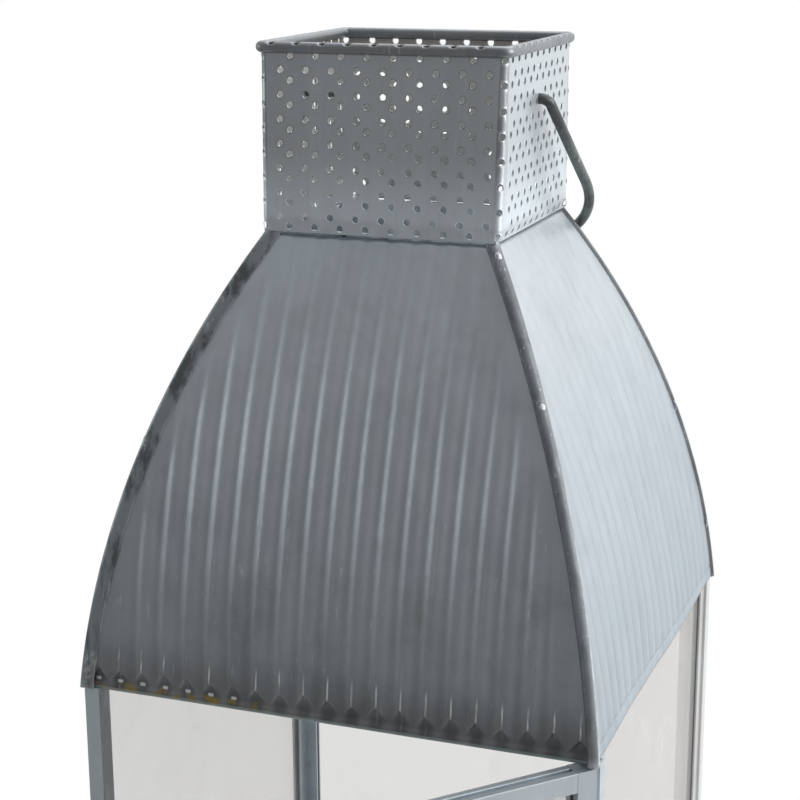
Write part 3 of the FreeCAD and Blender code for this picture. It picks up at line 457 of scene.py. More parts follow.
def glass_finish(colours):
    """Clear pane: what is behind shows through, dimmed a little, under a weak reflection and dust."""
    finish = Finish("glass")
    dust = finish.clouds(0.46, 0.80, 24.0, 6.0, 0.62, twist=0.7)
    smear = finish.clouds(0.55, 0.8, 38.0, 3.0, 0.5, finish.upright(0.3))
    slant = finish.node("ShaderNodeLayerWeight", None, {"Blend": 0.5}, out="Facing")
    face = slant * slant * slant + 0.035
    clear = finish.node("ShaderNodeBsdfTransparent", None, {"Color": opaque(colours.glass)})
    ripple = finish.bump(finish.mottle(11.0, 2.0, 0.4), 0.06, 0.002)
    sheen = finish.metal(finish.mix(dust * 0.6, (0.68, 0.67, 0.66), (0.80, 0.79, 0.78)), 0.0,
                         0.06 + dust * 0.25 + smear * 0.1, ripple)
    amount = face * 0.75 + dust * 0.035 + smear * 0.02
    return finish.done(finish.node("ShaderNodeMixShader", None, {0: amount, 1: clear, 2: sheen}))


MATERIALS = {}


def material(name):
    if name not in MATERIALS:
        raise KeyError("build the finishes first: " + name)
    return MATERIALS[name]


# ---- meshes

def placed(name, data):
    made = bpy.data.objects.new(name, data)
    bpy.context.scene.collection.objects.link(made)
    return made


def piece(name, vertices, faces, finish, body="lantern", slot=None, replaces=(), smooth=40.0):
    """A closed mesh with its finish, riding on a body and standing for the nodes that it replaces."""
    mesh = bpy.data.meshes.new(name)
    mesh.from_pydata([tuple(v) for v in vertices], [], [tuple(f) for f in faces])
    mesh.validate()
    mesh.materials.append(material(finish))
    mesh.shade_smooth()
    if smooth is not None:
        mesh.set_sharp_from_angle(angle=math.radians(smooth))
    made = placed(name, mesh)
    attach(made, body)
    if replaces:
        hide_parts(*replaces)
    return made


def grid_faces(rows, columns, close_rows=False, close_columns=False):
    faces = []
    for row in range(rows if close_rows else rows - 1):
        for column in range(columns if close_columns else columns - 1):
            next_row, next_column = (row + 1) % rows, (column + 1) % columns
            faces.append((row * columns + column, row * columns + next_column,
                          next_row * columns + next_column, next_row * columns + column))
    return faces


def skin(loops, closed=False):
    """Closed surface over equal rings of points; the ends are capped unless the row of rings closes."""
    count = len(loops[0])
    vertices = [point for loop in loops for point in loop]
    faces = grid_faces(len(loops), count, closed, True)
    if not closed:
        faces.append(tuple(range(count))[::-1])
        faces.append(tuple(range((len(loops) - 1) * count, len(loops) * count)))
    return vertices, faces


def joined(meshes):
    """Several (vertices, faces) as one."""
    vertices, faces = [], []
    for more_vertices, more_faces in meshes:
        start = len(vertices)
        vertices.extend(more_vertices)
        faces.extend(tuple(start + index for index in face) for face in more_faces)
    return vertices, faces


def heading(degrees):
    """Level unit vector, turned from +X."""
    return Vector((math.cos(math.radians(degrees)), math.sin(math.radians(degrees)), 0))


def square_corners(half_x, half_y, bend):
    """Rounded corners of a rectangle: rows of (spot, outward) pairs, one row for each corner."""
    rows = []
    for x, y, first in ((1, 1, 0), (-1, 1, 90), (-1, -1, 180), (1, -1, 270)):
        middle = Vector((x * (half_x - bend), y * (half_y - bend), 0))
        rows.append([(middle + heading(angle) * bend, heading(angle))
                     for angle in range(first, first + 91, 15)])
    return rows


def quarter_turned(points, turns):
    turn = Matrix.Rotation(math.radians(90 * turns), 3, "Z")
    return [turn @ Vector(point) for point in points]


def facing_out(axis):
    """Turns +Z to the axis."""
    return Vector(axis).normalized().to_track_quat("Z", "Y").to_matrix()


def round_angles(steps):
    return [2 * math.pi * step / steps for step in range(steps)]


def turned_piece(profile, centre, axis, steps=40):
    """Lathe work: (radius, height) pairs spun about an axis through the centre."""
    turn = facing_out(axis)
    return skin([[Vector(centre) + turn @ Vector((radius * math.cos(a), radius * math.sin(a), height))
                  for a in round_angles(steps)] for radius, height in profile])


def lump(centre, outward, size, seed, steps=(14, 9)):
    """Blob of solder pressed against a surface: size is along, across and proud."""
    basis = facing_out(outward)
    around, rings = steps
    loops = []
    for ring in range(1, rings):
        rise = math.pi * (ring / rings - 0.5)
        loop = []
        for angle in round_angles(around):
            spot = Vector((math.cos(rise) * math.cos(angle), math.cos(rise) * math.sin(angle),
                           math.sin(rise)))
            swell = 1 + 0.30 * noise.noise(spot * 1.7 + Vector((seed * 3.1, seed, 0)))
            loop.append(Vector(centre) + basis @ Vector((
                spot.x * size[0] * swell, spot.y * size[1] * swell, spot.z * size[2] * swell)))
        loops.append(loop)
    return skin(loops)


# ---- the roof's bow

class Bow:
    """Outside of a hip seam: distance from the centre line against height, an arc."""

    def __init__(self, radius):
        self.eave = low("hip_bead_back_right").z
        self.neck = high("hip_bead_back_right").z
        foot = Vector((high("hip_bead_back_right").x, self.eave))
        top = Vector((high("neck_collar").x, self.neck))
        chord = top - foot
        outward = Vector((chord.y, -chord.x)).normalized()
        depth = math.sqrt(radius ** 2 - (chord.length / 2) ** 2)
        self.radius = radius
        self.middle = (foot + top) / 2 - outward * depth
        self.start = self.angle(self.eave)
        self.run = radius * (self.angle(self.neck) - self.start)

    def angle(self, height):
        return math.asin((height - self.middle.y) / self.radius)

    def reach(self, height):
        return self.middle.x + math.sqrt(self.radius ** 2 - (height - self.middle.y) ** 2)

    def at(self, run, offset=0.0):
        """(distance from the centre line, height) that far up the bow and out from it."""
        angle = self.start + run / self.radius
        return (self.middle.x + (self.radius + offset) * math.cos(angle),
                self.middle.y + (self.radius + offset) * math.sin(angle))


def smoothstep(value, start, end):
    share = np.clip((value - start) / (end - start), 0.0, 1.0)
    return share * share * (3 - 2 * share)


def dents(across, rise, seed):
    """Slow unevenness of a hand-worked sheet."""
    wave = np.sin(across * 38 + seed * 1.7 + 2.1 * np.sin(rise * 23 + seed))
    cross = np.sin(rise * 46 - seed * 2.3 + 1.6 * np.sin(across * 31 + seed * 0.6))
    small = np.sin(across * 131 + rise * 87 + seed * 5.0)
    return 0.28 * MM * wave + 0.24 * MM * cross + 0.07 * MM * small


def sheet_offset(sizes, across, rise, run, seed, crimped, edge):
    """Corrugated sheet against the bow: crests, troughs, crimped ends, flat hem and dents.

    A side that isn't crimped has shallow corrugations that run out above a plain folded hem.
    """
    pitch = sizes.rib_pitch
    phase = np.abs((across + pitch / 2) % pitch - pitch / 2) / pitch
    wave = (0.5 - 0.5 * np.cos(2 * np.pi * phase)) ** 1.35
    fade = 1.0 - 0.72 * smoothstep(rise, 0.30 * run, 0.97 * run)
    if not crimped:
        fade = 0.42 * (1.0 - 0.85 * smoothstep(rise, 0.10 * run, 0.70 * run))
    depth = sizes.rib_depth * fade * (0.12 + 0.88 * edge)
    crest = -sizes.crest_drop - 0.25 * MM * (1 - fade)
    ribbed = crest - depth * wave
    wander = 0.9 * MM * np.sin(across * 170 + seed) + 0.5 * MM * np.sin(across * 430)
    arch = sizes.hem_height + (sizes.crimp_height + wander) * (1 - 2 * phase)
    if not crimped:
        arch = 2.1 * sizes.hem_height + 0.3 * wander
    inside = smoothstep(arch - rise, -0.9 * MM, 0.9 * MM)
    trough = -sizes.crest_drop - sizes.rib_depth
    pressed = trough - 0.35 * MM * (1 - 2 * phase) * smoothstep(rise, 1.5 * MM, 5 * MM)
    hem = smoothstep(sizes.hem_height - rise, -0.5 * MM, 0.5 * MM) * 0.75 * MM
    lip = 0.42 * MM * np.exp(-((rise - arch - 0.5 * MM) / (0.75 * MM)) ** 2) * (1 - 1.4 * phase)
    if not crimped:
        fold = -0.45 * MM * np.exp(-((rise - arch - 0.2 * MM) / (0.5 * MM)) ** 2)
        flat = -sizes.crest_drop - 0.2 * MM
        return ribbed * (1 - inside) + flat * inside + fold + dents(across, rise, seed) * edge, phase
    return ribbed * (1 - inside) + pressed * inside + hem + lip + dents(across, rise, seed) * edge, phase


def roof_panel(bow, sizes, turns):
    """One side of the roof: the sheet, its crimped eave and the hem rolled under it."""
    hem_turn = 1.15 * MM
    seam = 2.3 * MM
    rises = np.concatenate([np.arange(0, 16, 0.62) * MM, np.linspace(16.5 * MM, bow.run - 0.4 * MM, 62)])
    spread = np.linspace(-1, 1, 301)
    crimped = SIDES[turns] != "right"
    hem = [(1.0, -3.4), (1.0, -1.6)] + [
        (0.5 + 0.5 * math.cos(math.radians(a)), math.sin(math.radians(a))) for a in range(20, 180, 32)]
    strips = [(0.0, hem_turn, hem_turn - dip * (hem_turn if dip > 0 else MM), 2 * hem_turn * share)
              for share, dip in hem]
    for rise in rises:
        run = min(hem_turn + rise, bow.run - 0.2 * MM)
        strips.append((rise, run, run, 0.0))
    rows, places = [], []
    for rise_here, run, along, tuck in strips:
        half = bow.at(run)[0] - seam
        across = spread * half
        rise = np.full_like(spread, rise_here)
        edge = smoothstep(half - np.abs(across), 4 * MM, 20 * MM)
        offset, phase = sheet_offset(sizes, across, rise, bow.run, turns, crimped, edge)
        out, up = bow.at(along, offset - tuck)
        rows.append(np.stack([out, across, up], axis=1))
        places.append(np.stack([across, rise, phase], axis=1))
    points = np.concatenate(rows)
    name = SIDES[turns]
    vertices = quarter_turned(points, turns)
    faces = grid_faces(len(rows), len(spread))
    # The right side takes a paler copy of the zinc: painted light.
    finish = "roof_zinc_painted_light" if name == "right" else "roof_zinc"
    made = piece("roof_%s_sheet" % name, vertices, faces, finish, slot="roof_zinc",
                 replaces=["roof_panel_" + name], smooth=None)
    spot = made.data.attributes.new("sheet_place", "FLOAT_VECTOR", "POINT")
    spot.data.foreach_set("vector", np.concatenate(places).astype(np.float32).ravel())
    thick = made.modifiers.new("sheet", "SOLIDIFY")
    thick.thickness = sizes.roof_sheet
    thick.offset = -1.0
    return made


def hip_seam(bow, turns):
    """Folded seam over a hip: a rounded bead at the corner with a flap along each panel.

    Widths of the two flaps and the bead's radius are in millimetres. At the right the flaps are
    hammered flat.
    """
    corner = CORNERS[turns]
    flaps, nose = {"front_left": ((3.9, 7.2), 1.75), "front_right": ((5.4, 5.4), 3.7),
                   "back_right": ((3.3, 3.3), 1.2)}.get(corner, ((3.9, 3.9), 1.75))
    first_flap, second_flap, nose = flaps[0] * MM, flaps[1] * MM, nose * MM
    laid_flat = corner in ("front_right", "back_right")
    loops = []
    levels = np.linspace(bow.eave + 0.15 * MM, bow.neck + 0.4 * MM, 90)
    for number, level in enumerate(levels):
        level_in = min(level, bow.neck)
        slope = 1 / math.cos(bow.angle(level_in))
        reach = bow.reach(level_in)
        wobble = 0.22 * MM * math.sin(number * 0.9 + turns) + 0.16 * MM * math.sin(number * 2.3)

        def side(width):
            if laid_flat:
                return [(-1.9 * MM, -width), (-1.5 * MM, -width + 0.25 * MM),
                        (-1.15 * MM, -width + 0.6 * MM), (-0.45 * MM, -nose - 0.75 * MM),
                        (-0.12 * MM, -nose - 0.35 * MM)]
            return [(-1.45 * MM, -width - wobble), (-0.82 * MM, -width - 0.12 * MM - wobble),
                    (-0.62 * MM, -width + 0.45 * MM - wobble), (-0.66 * MM, -2.9 * MM),
                    (-0.12 * MM, -2.3 * MM)]

        arc = [(-nose + nose * math.cos(math.radians(a)), -nose + nose * math.sin(math.radians(a)))
               for a in (0, 22.5, 45, 67.5, 90)]
        inner = -3.9 * MM
        section = side(first_flap) + arc + [(b, a) for a, b in side(second_flap)][::-1] + [
            (-3.0 * MM, -1.45 * MM), (-3.0 * MM, inner), (inner, inner), (inner, -3.0 * MM),
            (-1.45 * MM, -3.0 * MM)]
        loops.append([Vector((reach + a * slope, reach + b * slope, level)) for a, b in section])
    vertices, faces = skin(loops)
    finish = "seam_zinc_dark" if corner in ("front_left", "back_left") else "seam_zinc"
    return piece("hip_seam_" + corner, quarter_turned(vertices, turns), faces, finish,
                 slot="roof_zinc", replaces=["hip_bead_" + corner], smooth=50)


# ---- chimney

class Wall:
    """Outside of the chimney: half width and half depth against height."""

    def __init__(self, sizes):
        self.neck = low("neck_collar").z
        self.foot = high("neck_collar").z
        self.top = low("chimney_rim_roll").z
        self.crease = self.neck + sizes.crease_rise
        self.rim_x = (high("chimney_rim_roll").x - low("chimney_rim_roll").x) / 2 - self.roll()
        self.rim_y = (high("chimney_rim_roll").y - low("chimney_rim_roll").y) / 2 - self.roll()
        self.neck_half = high("neck_collar").x
        self.crease_x = self.neck_half + sizes.crease_spread
        self.crease_y = self.neck_half - sizes.crease_tuck

    @staticmethod
    def roll():
        return (high("chimney_rim_roll").z - low("chimney_rim_roll").z) / 2

    def half(self, height, across_x):
        """Half width where across_x is true, half depth where it is not."""
        crease = self.crease_x if across_x else self.crease_y
        if height < self.crease:
            share = (height - self.foot) / (self.crease - self.foot)
            return self.neck_half + (crease - self.neck_half) * share
        rim = self.rim_x if across_x else self.rim_y
        share = (height - self.crease) / (self.top - self.crease)
        return crease + (rim - crease) * share


def hole_places(wall, sizes, step, shift, limit):
    """Punched holes on one side: two grids, one between the other."""
    places = []
    lowest = wall.neck + sizes.first_row
    grids = ((step / 2, lowest), (step / 2 + shift, lowest + sizes.grid_lift))
    for first, start in grids:
        for row in range(int((wall.top - start) / sizes.up_step) + 1):
            for column in range(-8, 8):
                across = first + column * step
                if abs(across) < limit:
                    places.append((across, start + row * sizes.up_step))
    return places


def burr(centre, outward, radius, seed):
    """Raised lip that the punch leaves round a hole."""
    basis = facing_out(outward)
    lift = 1 + 0.35 * math.sin(seed * 12.9898)
    lean = seed * 2.399
    loops = []
    for angle in round_angles(18):
        rag = lift * (1 + 0.35 * math.cos(angle - lean))
        section = ((radius + 0.50 * MM, -0.10 * MM), (radius + 0.28 * MM, 0.03 * MM * rag),
                   (radius + 0.08 * MM, 0.10 * MM * rag), (radius - 0.03 * MM, 0.06 * MM * rag),
                   (radius - 0.03 * MM, -0.12 * MM))
        loops.append([Vector(centre) + basis @ Vector((
            r * math.cos(angle), r * math.sin(angle), h)) for r, h in section])
    return skin(loops, closed=True)


def chimney_burrs(wall, sizes, turns):
    """Punch burrs on one side of the chimney, with those on its folds at front and back."""
    side = SIDES[turns]
    across_x = side in ("right", "left")
    corner = wall.rim_y - sizes.fold_radius - 0.3 * MM
    if across_x:
        places = hole_places(wall, sizes, sizes.side_step, sizes.side_shift,
                             corner - 2 * sizes.hole_radius)
        pivot = next(j for j in frame["joints"] if j["name"] == "bail_swing")
        axis_height = pivot["pos_m"][2]
        keep_off = 2.5 * MM + sizes.hole_radius + 0.68 * MM
        places = [p for p in places if math.hypot(p[0], p[1] - axis_height) > keep_off]
    else:
        margin = sizes.fold_radius + sizes.hole_radius + 0.3 * MM
        places = hole_places(wall, sizes, sizes.front_step, sizes.front_shift,
                             wall.crease_x - margin)
    meshes = []
    for number, (across, height) in enumerate(places):
        half = wall.half(height, across_x)
        lean = (wall.half(height + MM, across_x) - wall.half(height - MM, across_x)) / (2 * MM)
        spot = quarter_turned([(half, across, height), (1, 0, -lean)], turns)
        meshes.append(burr(spot[0], spot[1], sizes.hole_radius, number + turns * 57))
    if not across_x:
        meshes.extend(fold_burrs(wall, sizes, 1 if side == "back" else -1))
    # The right side takes a paler copy of the chimney's zinc: painted light.
    finish = "chimney_zinc_pale" if side == "right" else "chimney_zinc"
    return piece("chimney_%s_burrs" % side, *joined(meshes), finish, slot="chimney_zinc")


def fold_burrs(wall, sizes, toward):
    """Burrs of the holes that the two upright folds pass through."""
    meshes = []
    rise = wall.neck + sizes.first_row
    number = 0
    while rise < wall.top:
        share = (rise - wall.neck) / (wall.top - wall.neck)
        half_x = wall.crease_x + share * (wall.rim_x - wall.crease_x) - sizes.fold_radius
        half_y = wall.crease_y + share * (wall.rim_y - wall.crease_y) - sizes.fold_radius
        for side in (-1, 1):
            out = Vector((side, toward, 0)).normalized()
            spot = Vector((side * half_x, toward * half_y, rise)) + out * (sizes.fold_radius - 0.35 * MM)
            number += 1
            meshes.append(burr(spot, out, sizes.hole_radius, number * 7 + toward))
        rise += sizes.up_step
    return meshes


def rim_roll(wall, sizes):
    """Top edge rolled over: old punch holes show as pits on its crown and along its underside."""
    radius = wall.roll()
    height = wall.top + radius
    bend = 3.2 * MM
    corners = square_corners(wall.rim_x, wall.rim_y, bend)
    path = []
    for row, next_row in zip(corners, corners[1:] + corners[:1]):
        path.extend(row)
        start, away = row[-1]
        end = next_row[0][0]
        steps = int((end - start).length / (0.9 * MM))
        for step in range(1, steps):
            path.append((start.lerp(end, step / steps), away))
    loops = []
    pits = []
    for centre, away in path:
        along_x = abs(away.y) > abs(away.x)
        place = centre.x if along_x else centre.y
        step = sizes.front_step if along_x else sizes.side_step
        straight = max(abs(away.x), abs(away.y)) > 0.999
        crown = abs((place - 0.28 * step) % step - step / 2) / MM
        under = abs((place - 0.78 * step) % step - step / 2) / MM
        loop = []
        for angle in round_angles(24):
            turn = math.degrees(angle)
            pit = 0.0
            if straight:
                pit += math.exp(-(crown / 1.35) ** 4) * math.exp(-((turn - 62) / 21) ** 4)
                pit += 0.3 * math.exp(-(under / 1.2) ** 4) * math.exp(-((turn - 318) / 20) ** 4)
            swell = radius * (1 - 0.42 * pit)
            loop.append(Vector((0, 0, height)) + centre + away * (swell * math.cos(angle))
                        + Vector((0, 0, swell * math.sin(angle))))
            pits.append(pit)
        loops.append(loop)
    made = piece("rim_roll", *skin(loops, closed=True), "rim_zinc", slot="chimney_zinc",
                 replaces=["chimney_rim_roll"], smooth=None)
    mark = made.data.attributes.new("pit", "FLOAT", "POINT")
    mark.data.foreach_set("value", np.array(pits, np.float32))
    return made


def painted_pit_shade(finish, colours, base, gloss, normal):
    """Old punch holes in the rolled rim, painted near black as painted shade for the dark inside of the
    holes.
    """
    pit = finish.mark("pit", "Fac")
    # Painted shade: near black in the pits, standing in for the dark inside of the holes.
    return finish.mix(finish.ramp(pit, 0.25, 0.7), base, (0.012, 0.012, 0.013)), gloss, normal


# ---- operators

class LANTERN_OT_finishes(bpy.types.Operator):
    """Make every finish: zinc, solder, wire, steel and glass"""
    bl_idname = "lantern.finishes"
    bl_label = "Finishes"

    def execute(self, context):
        colours = context.scene.lantern_colours
        # seam is the very dark base of the hip seams; on the right hips it is painted shade beside the
        # painted light where they face right.
        seam = shade(colours.roof_dark, 0.35)
        # pale holds the paler copy of the zinc for the right side of roof and chimney: painted light.
        pale = (colours.painted_lit_dark, colours.painted_lit_light, colours.chimney_light)
        member = (colours.frame_dark, colours.frame_light, colours.chimney_dark)
        MATERIALS.clear()
        for name, (dark, light, brown), chalk, metallic, rough, streaks, extra in (
                ("roof_zinc", (colours.roof_dark, colours.roof_light, colours.roof_brown),
                 0.16, 0.72, 0.42, 0.5, eave_marks),
                ("roof_zinc_painted_light", pale, 0.30, 0.55, 0.44, 0.45, thin_hem_line),
                ("seam_zinc", (seam, shade(colours.roof_light, 0.55), colours.roof_dark),
                 0.2, 0.5, 0.5, 0.35, painted_light_to_the_right),
                ("seam_zinc_dark", (seam, shade(colours.roof_light, 0.8), colours.roof_dark),
                 0.30, 0.7, 0.42, 0.9, soldered_foot),
                ("chimney_zinc_pale", pale, 0.25, 0.6, 0.42, 0.35, darker_below),
                ("post_zinc", member, 0.45, 0.45, 0.42, 0.35, shaded_inner_side),
                ("post_zinc_warm", ((0.50, 0.485, 0.475), (0.66, 0.645, 0.635), colours.frame_light),
                 0.25, 0.25, 0.5, 0.35, None),
                ("frame_zinc", member, 0.35, 0.55, 0.42, 0.35, None),
                ("chimney_zinc", (colours.chimney_dark, colours.chimney_light, colours.roof_brown),
                 0.22, 0.7, 0.42, 0.35, darker_below),
                ("rim_zinc", (colours.roof_dark, colours.chimney_light, colours.roof_brown),
                 0.25, 0.75, 0.38, 0.35, painted_pit_shade)):
            MATERIALS[name] = weathered_zinc(
                name, colours, dark, light, brown, chalk, metallic, rough, streaks, extra)
        for name, make in (("bail_wire", bail_finish), ("solder", solder_finish),
                           ("hinge_steel", steel_finish), ("knob_metal", knob_finish),
                           ("glass", glass_finish)):
            MATERIALS[name] = make(colours)
        return {"FINISHED"}


class LANTERN_OT_stage(bpy.types.Operator):
    """Set up the pale floor, the soft lights and the camera"""
    bl_idname = "lantern.stage"
    bl_label = "Stage"

    def execute(self, context):
        scene = context.scene
        scene.view_settings.view_transform = "Standard"
        scene.view_settings.look = "None"
        floor()
        surroundings(scene)
        soft_light("right_window", (1.45, 0.30, 0.95), (0, 0, 0.42), 1.3, 14.0, (1.0, 0.995, 0.985))
        soft_light("sky", (0.1, 0.75, 1.75), (0, 0, 0.35), 1.5, 9.0, (0.97, 0.985, 1.0))
        soft_light("left_card", (-1.45, -0.35, 0.75), (0, 0, 0.4), 1.0, 3.0, (0.96, 0.98, 1.0))
        camera(scene)
        return {"FINISHED"}


def floor():
    """Pale round floor that thins out to the white surroundings."""
    finish = Finish("floor")
    away = finish.node("ShaderNodeVectorMath", {"operation": "LENGTH"}, {0: finish.place}, out="Value")
    grain = finish.mottle(35.0, 3.0)
    paint = finish.node("ShaderNodeBsdfDiffuse", None, {
        "Color": finish.mix(grain, (0.90, 0.90, 0.895), (0.94, 0.94, 0.935))})
    gone = finish.node("ShaderNodeBsdfTransparent")
    mixed = finish.node("ShaderNodeMixShader", None, {
        0: finish.ramp(away, 0.31, 0.45), 1: paint, 2: gone})
    ring = [(0.5 * math.cos(a), 0.5 * math.sin(a), -0.0005) for a in round_angles(72)]
    mesh = bpy.data.meshes.new("floor")
    mesh.from_pydata(ring, [], [tuple(range(len(ring)))])
    mesh.materials.append(finish.done(mixed))
    placed("floor", mesh)


def surroundings(scene):
    """White all round for the eye; as a light, bright behind and to the right, dim at the front."""
    world = Finish("surroundings", "worlds")
    toward = world.node("ShaderNodeVectorMath", {"operation": "DOT_PRODUCT"}, {
        0: world.node("ShaderNodeTexCoord", out="Generated"),
        1: Vector((0.42, 0.86, 0.28)).normalized()}, out="Value")
    bright = world.node("ShaderNodeMapRange", {"interpolation_type": "SMOOTHSTEP"}, {
        "Value": toward, "From Min": -0.55, "From Max": 0.75, "To Min": 0.27, "To Max": 1.0})
    eye = world.node("ShaderNodeLightPath", out="Is Camera Ray")
    glow = world.node("ShaderNodeBackground", None, {
        "Color": (1.0, 1.0, 1.0, 1.0), "Strength": bright.maths("MAXIMUM", bright, eye)})
    scene.world = world.done(glow, "ShaderNodeOutputWorld")


def soft_light(name, place, target, size, power, tint):
    lamp = bpy.data.lights.new(name, "AREA")
    lamp.shape = "DISK"
    lamp.size = size
    lamp.energy = power
    lamp.color = tint
    made = placed(name, lamp)
    made.location = place
    made.rotation_euler = (Vector(target) - Vector(place)).to_track_quat("-Z", "Y").to_euler()


def camera(scene):
    """Standing a little above the roof and to the right of the door side."""
    yaw, pitch, roll = (math.radians(a) for a in (-20.57, 14.90, -0.26))
    forward = Vector((math.sin(yaw) * math.cos(pitch), math.cos(yaw) * math.cos(pitch), -math.sin(pitch)))
    level = Vector((math.cos(yaw), -math.sin(yaw), 0))
    above = level.cross(forward)
    right = math.cos(roll) * level + math.sin(roll) * above
    up = -math.sin(roll) * level + math.cos(roll) * above
    lens = bpy.data.cameras.new("camera")
    lens.lens = 83.58
    lens.sensor_width = 36.0
    made = placed("camera", lens)
    turn = Matrix((right, up, -forward)).transposed().to_4x4()
    made.matrix_world = Matrix.Translation((0.3010, -0.8304, 0.6847)) @ turn
    scene.camera = made


class LANTERN_OT_roof(bpy.types.Operator):
    """Corrugated roof panels with crimped eaves, and the folded hip seams"""
    bl_idname = "lantern.roof"
    bl_label = "Roof"

    def execute(self, context):
        sizes = context.scene.lantern_sizes
        bow = Bow(sizes.bow_radius)
        for turns in range(4):
            roof_panel(bow, sizes, turns)
            hip_seam(bow, turns)
        return {"FINISHED"}


class LANTERN_OT_chimney(bpy.types.Operator):
    """Punch burrs on the chimney and its rolled rim"""
    bl_idname = "lantern.chimney"
    bl_label = "Chimney"

    def execute(self, context):
        sizes = context.scene.lantern_sizes
        wall = Wall(sizes)
        for turns in range(4):
            chimney_burrs(wall, sizes, turns)
        rim_roll(wall, sizes)
        return {"FINISHED"}


# height of each lump of solder and the sides of the hip that it sits on
HIP_SOLDER = ((0.4735, 1, -1), (0.4140, 1, -1), (0.5330, 1, -1), (0.4440, -1, -1), (0.3450, -1, -1),
              (0.4900, -1, 1), (0.4300, 1, 1), (0.3620, 1, 1), (0.3900, -1, 1))


class LANTERN_OT_solder(bpy.types.Operator):
    """Lumps of solder along the hips"""
    bl_idname = "lantern.solder"
    bl_label = "Solder"

    def execute(self, context):
        bow = Bow(context.scene.lantern_sizes.bow_radius)
        meshes = []
        for number, (level, side_x, side_y) in enumerate(HIP_SOLDER):
            reach = bow.reach(level) - (2.35 if side_x > 0 > side_y else 1.5) * MM
            meshes.append(lump((side_x * reach, side_y * reach, level), (side_x, side_y, 0.25),
                               (1.9 * MM, 4.2 * MM, 0.95 * MM), number + 1))
        piece("hip_solder", *joined(meshes), "solder", slot="roof_zinc")
        return {"FINISHED"}


class LANTERN_OT_knob(bpy.types.Operator):
    """Turned knob of the door"""
    bl_idname = "lantern.knob"
    bl_label = "Knob"

    def execute(self, context):
        outward = heading(-90 + door_angle())
        spots = [frame["nodes"]["door_knob"].matrix_world @ v.co
                 for v in frame["nodes"]["door_knob"].data.vertices]
        back, depth = span(spots, outward)
        middle, width = span(spots, outward.cross((0, 0, 1)))
        level = span(spots, Vector((0, 0, 1)))[0]
        start = (outward * back + outward.cross((0, 0, 1)) * (middle + width / 2)
                 + Vector((0, 0, level + width / 2)))
        profile = [(1.9, 0.0), (1.9, 1.9), (4.6, 1.9), (4.8, 2.1), (4.8, 2.5), (4.5, 2.7), (3.0, 3.1),
                   (2.1, 3.9), (1.9, 5.0), (2.1, 6.1), (3.2, 7.0), (4.6, 8.2), (5.6, 9.8), (6.0, 11.8),
                   (5.7, 13.6), (4.9, 14.9), (3.6, 15.8), (2.0, 16.3), (0.8, 16.45)]
        turned = turned_piece(
            [(r * width / 12, h * depth / 16.45) for r, h in profile], start, outward, 36)
        piece("knob_ball", *turned, "knob_metal", body="door", slot="knob_metal",
              replaces=["door_knob"], smooth=45)
        return {"FINISHED"}


def span(spots, axis):
    """Least reach of some points along an axis, and how far they stretch."""
    along = [spot.dot(axis) for spot in spots]
    return min(along), max(along) - min(along)


def door_angle():
    """Degrees that the door stands open at rest, from its hinge's range."""
    hinge = next(j for j in frame["joints"] if j["name"] == "door_hinge")
    return -hinge["range_deg"][0]


class LANTERN_OT_trim(bpy.types.Operator):
    """Beaded edges of pan, dish and cup, and fillets of solder at the posts' feet"""
    bl_idname = "lantern.trim"
    bl_label = "Trim"

    def execute(self, context):
        pan = high("base_pan")
        half = pan.x - 0.5 * MM
        bead("pan_bead", sum(square_corners(half, half, 2.0 * MM), []), pan.z, 0.75 * MM)
        dish = high("candle_dish")
        ring_bead("dish_bead", dish.x - 0.4 * MM, dish.z, 0.8 * MM)
        cup = high("candle_cup")
        ring_bead("cup_bead", cup.x - 0.4 * MM, cup.z, 0.7 * MM)
        meshes = []
        seed = 0
        for x in (-1, 1):
            for y in (-1, 1):
                foot = high("back_right_post").x - 9.2 * MM
                seed += 1
                meshes.append(lump((x * foot, y * foot, 3.4 * MM), (-x, -y, 1),
                                   (4.0 * MM, 2.4 * MM, 1.2 * MM), seed))
        piece("foot_solder", *joined(meshes), "solder", slot="frame_zinc")
        return {"FINISHED"}


def bead(name, path, height, radius):
    """Wired edge along a row of (spot, outward) pairs that closes."""
    loops = [[spot + away * radius * math.cos(t) + Vector((0, 0, height + radius * math.sin(t)))
              for t in round_angles(12)] for spot, away in path]
    piece(name, *skin(loops, closed=True), "frame_zinc", slot="frame_zinc", smooth=60)


def ring_bead(name, ring, height, radius):
    """Wired edge round a turned dish."""
    bead(name, [(heading(5 * step) * ring, heading(5 * step)) for step in range(72)], height, radius)


class LANTERN_OT_members(bpy.types.Operator):
    """Finishes and softened edges of posts, rails, glass, hinges, pan and bail"""
    bl_idname = "lantern.members"
    bl_label = "Members"

    def execute(self, context):
        for name, node in frame["nodes"].items():
            finish, rounding = member_finish(name)
            node.data.materials.clear()
            node.data.materials.append(material(finish))
            if rounding:
                weld = node.modifiers.new("weld", "WELD")
                weld.merge_threshold = 0.00001
                edge = node.modifiers.new("edges", "BEVEL")
                edge.width = rounding
                edge.segments = 2
                edge.limit_method = "ANGLE"
                edge.angle_limit = math.radians(40)
        return {"FINISHED"}


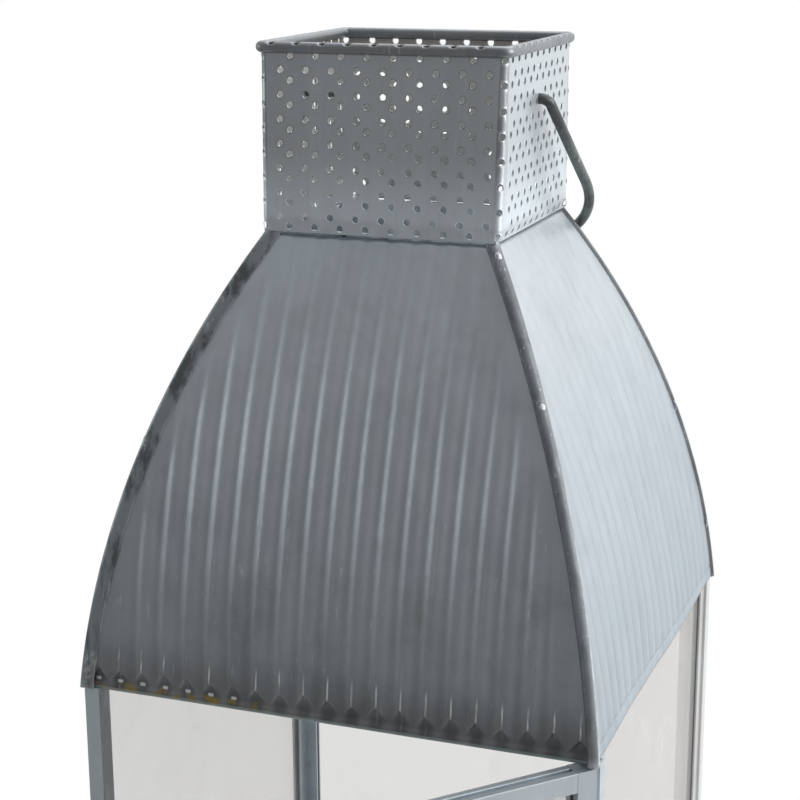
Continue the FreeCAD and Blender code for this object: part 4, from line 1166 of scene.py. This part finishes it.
# start of a node's name, its finish and the millimetres its edges are rounded by
MEMBERS = (
    ("front_left_post", "post_zinc", 1.6), ("back_right_post", "post_zinc_warm", 0.8),
    ("bail", "bail_wire", 0), ("hinge", "hinge_steel", 0), ("door_knob", "knob_metal", 0),
    ("latch_rivet", "knob_metal", 0), ("turn_button", "knob_metal", 0.15),
    # the chimney's right side takes the paler copy of its zinc: painted light
    ("chimney_right", "chimney_zinc_pale", 0), ("chimney", "chimney_zinc", 0),
    ("neck_collar", "chimney_zinc", 0), ("candle_dish", "frame_zinc", 0),
    ("candle_cup", "frame_zinc", 0), ("", "frame_zinc", 0.35))


def member_finish(name):
    """(finish, edge rounding) of a node."""
    if name.endswith("glass"):
        return "glass", 0
    return next((finish, rounding * MM) for start, finish, rounding in MEMBERS
                if name.startswith(start))


class LANTERN_PT_panel(bpy.types.Panel):
    """Lists the steps of the build"""
    bl_idname = "LANTERN_PT_panel"
    bl_label = "Candle lantern"
    bl_space_type = "VIEW_3D"
    bl_region_type = "UI"
    bl_category = "Lantern"

    def draw(self, context):
        for step in STEPS:
            self.layout.operator(step.bl_idname)
        for group in (context.scene.lantern_sizes, context.scene.lantern_colours):
            for key in group.bl_rna.properties.keys():
                if key not in ("rna_type", "name"):
                    self.layout.prop(group, key)


STEPS = (LANTERN_OT_finishes, LANTERN_OT_stage, LANTERN_OT_members, LANTERN_OT_roof,
         LANTERN_OT_chimney, LANTERN_OT_solder, LANTERN_OT_knob, LANTERN_OT_trim)
CLASSES = (LanternSizes, LanternColours, *STEPS, LANTERN_PT_panel)


def register():
    for item in CLASSES:
        bpy.utils.register_class(item)
    bpy.types.Scene.lantern_sizes = bpy.props.PointerProperty(type=LanternSizes)
    bpy.types.Scene.lantern_colours = bpy.props.PointerProperty(type=LanternColours)


def unregister():
    del bpy.types.Scene.lantern_colours
    del bpy.types.Scene.lantern_sizes
    for item in reversed(CLASSES):
        bpy.utils.unregister_class(item)


def main():
    register()
    for step in STEPS:
        group, name = step.bl_idname.split(".")
        getattr(getattr(bpy.ops, group), name)()


if __name__ == "__main__":
    main()
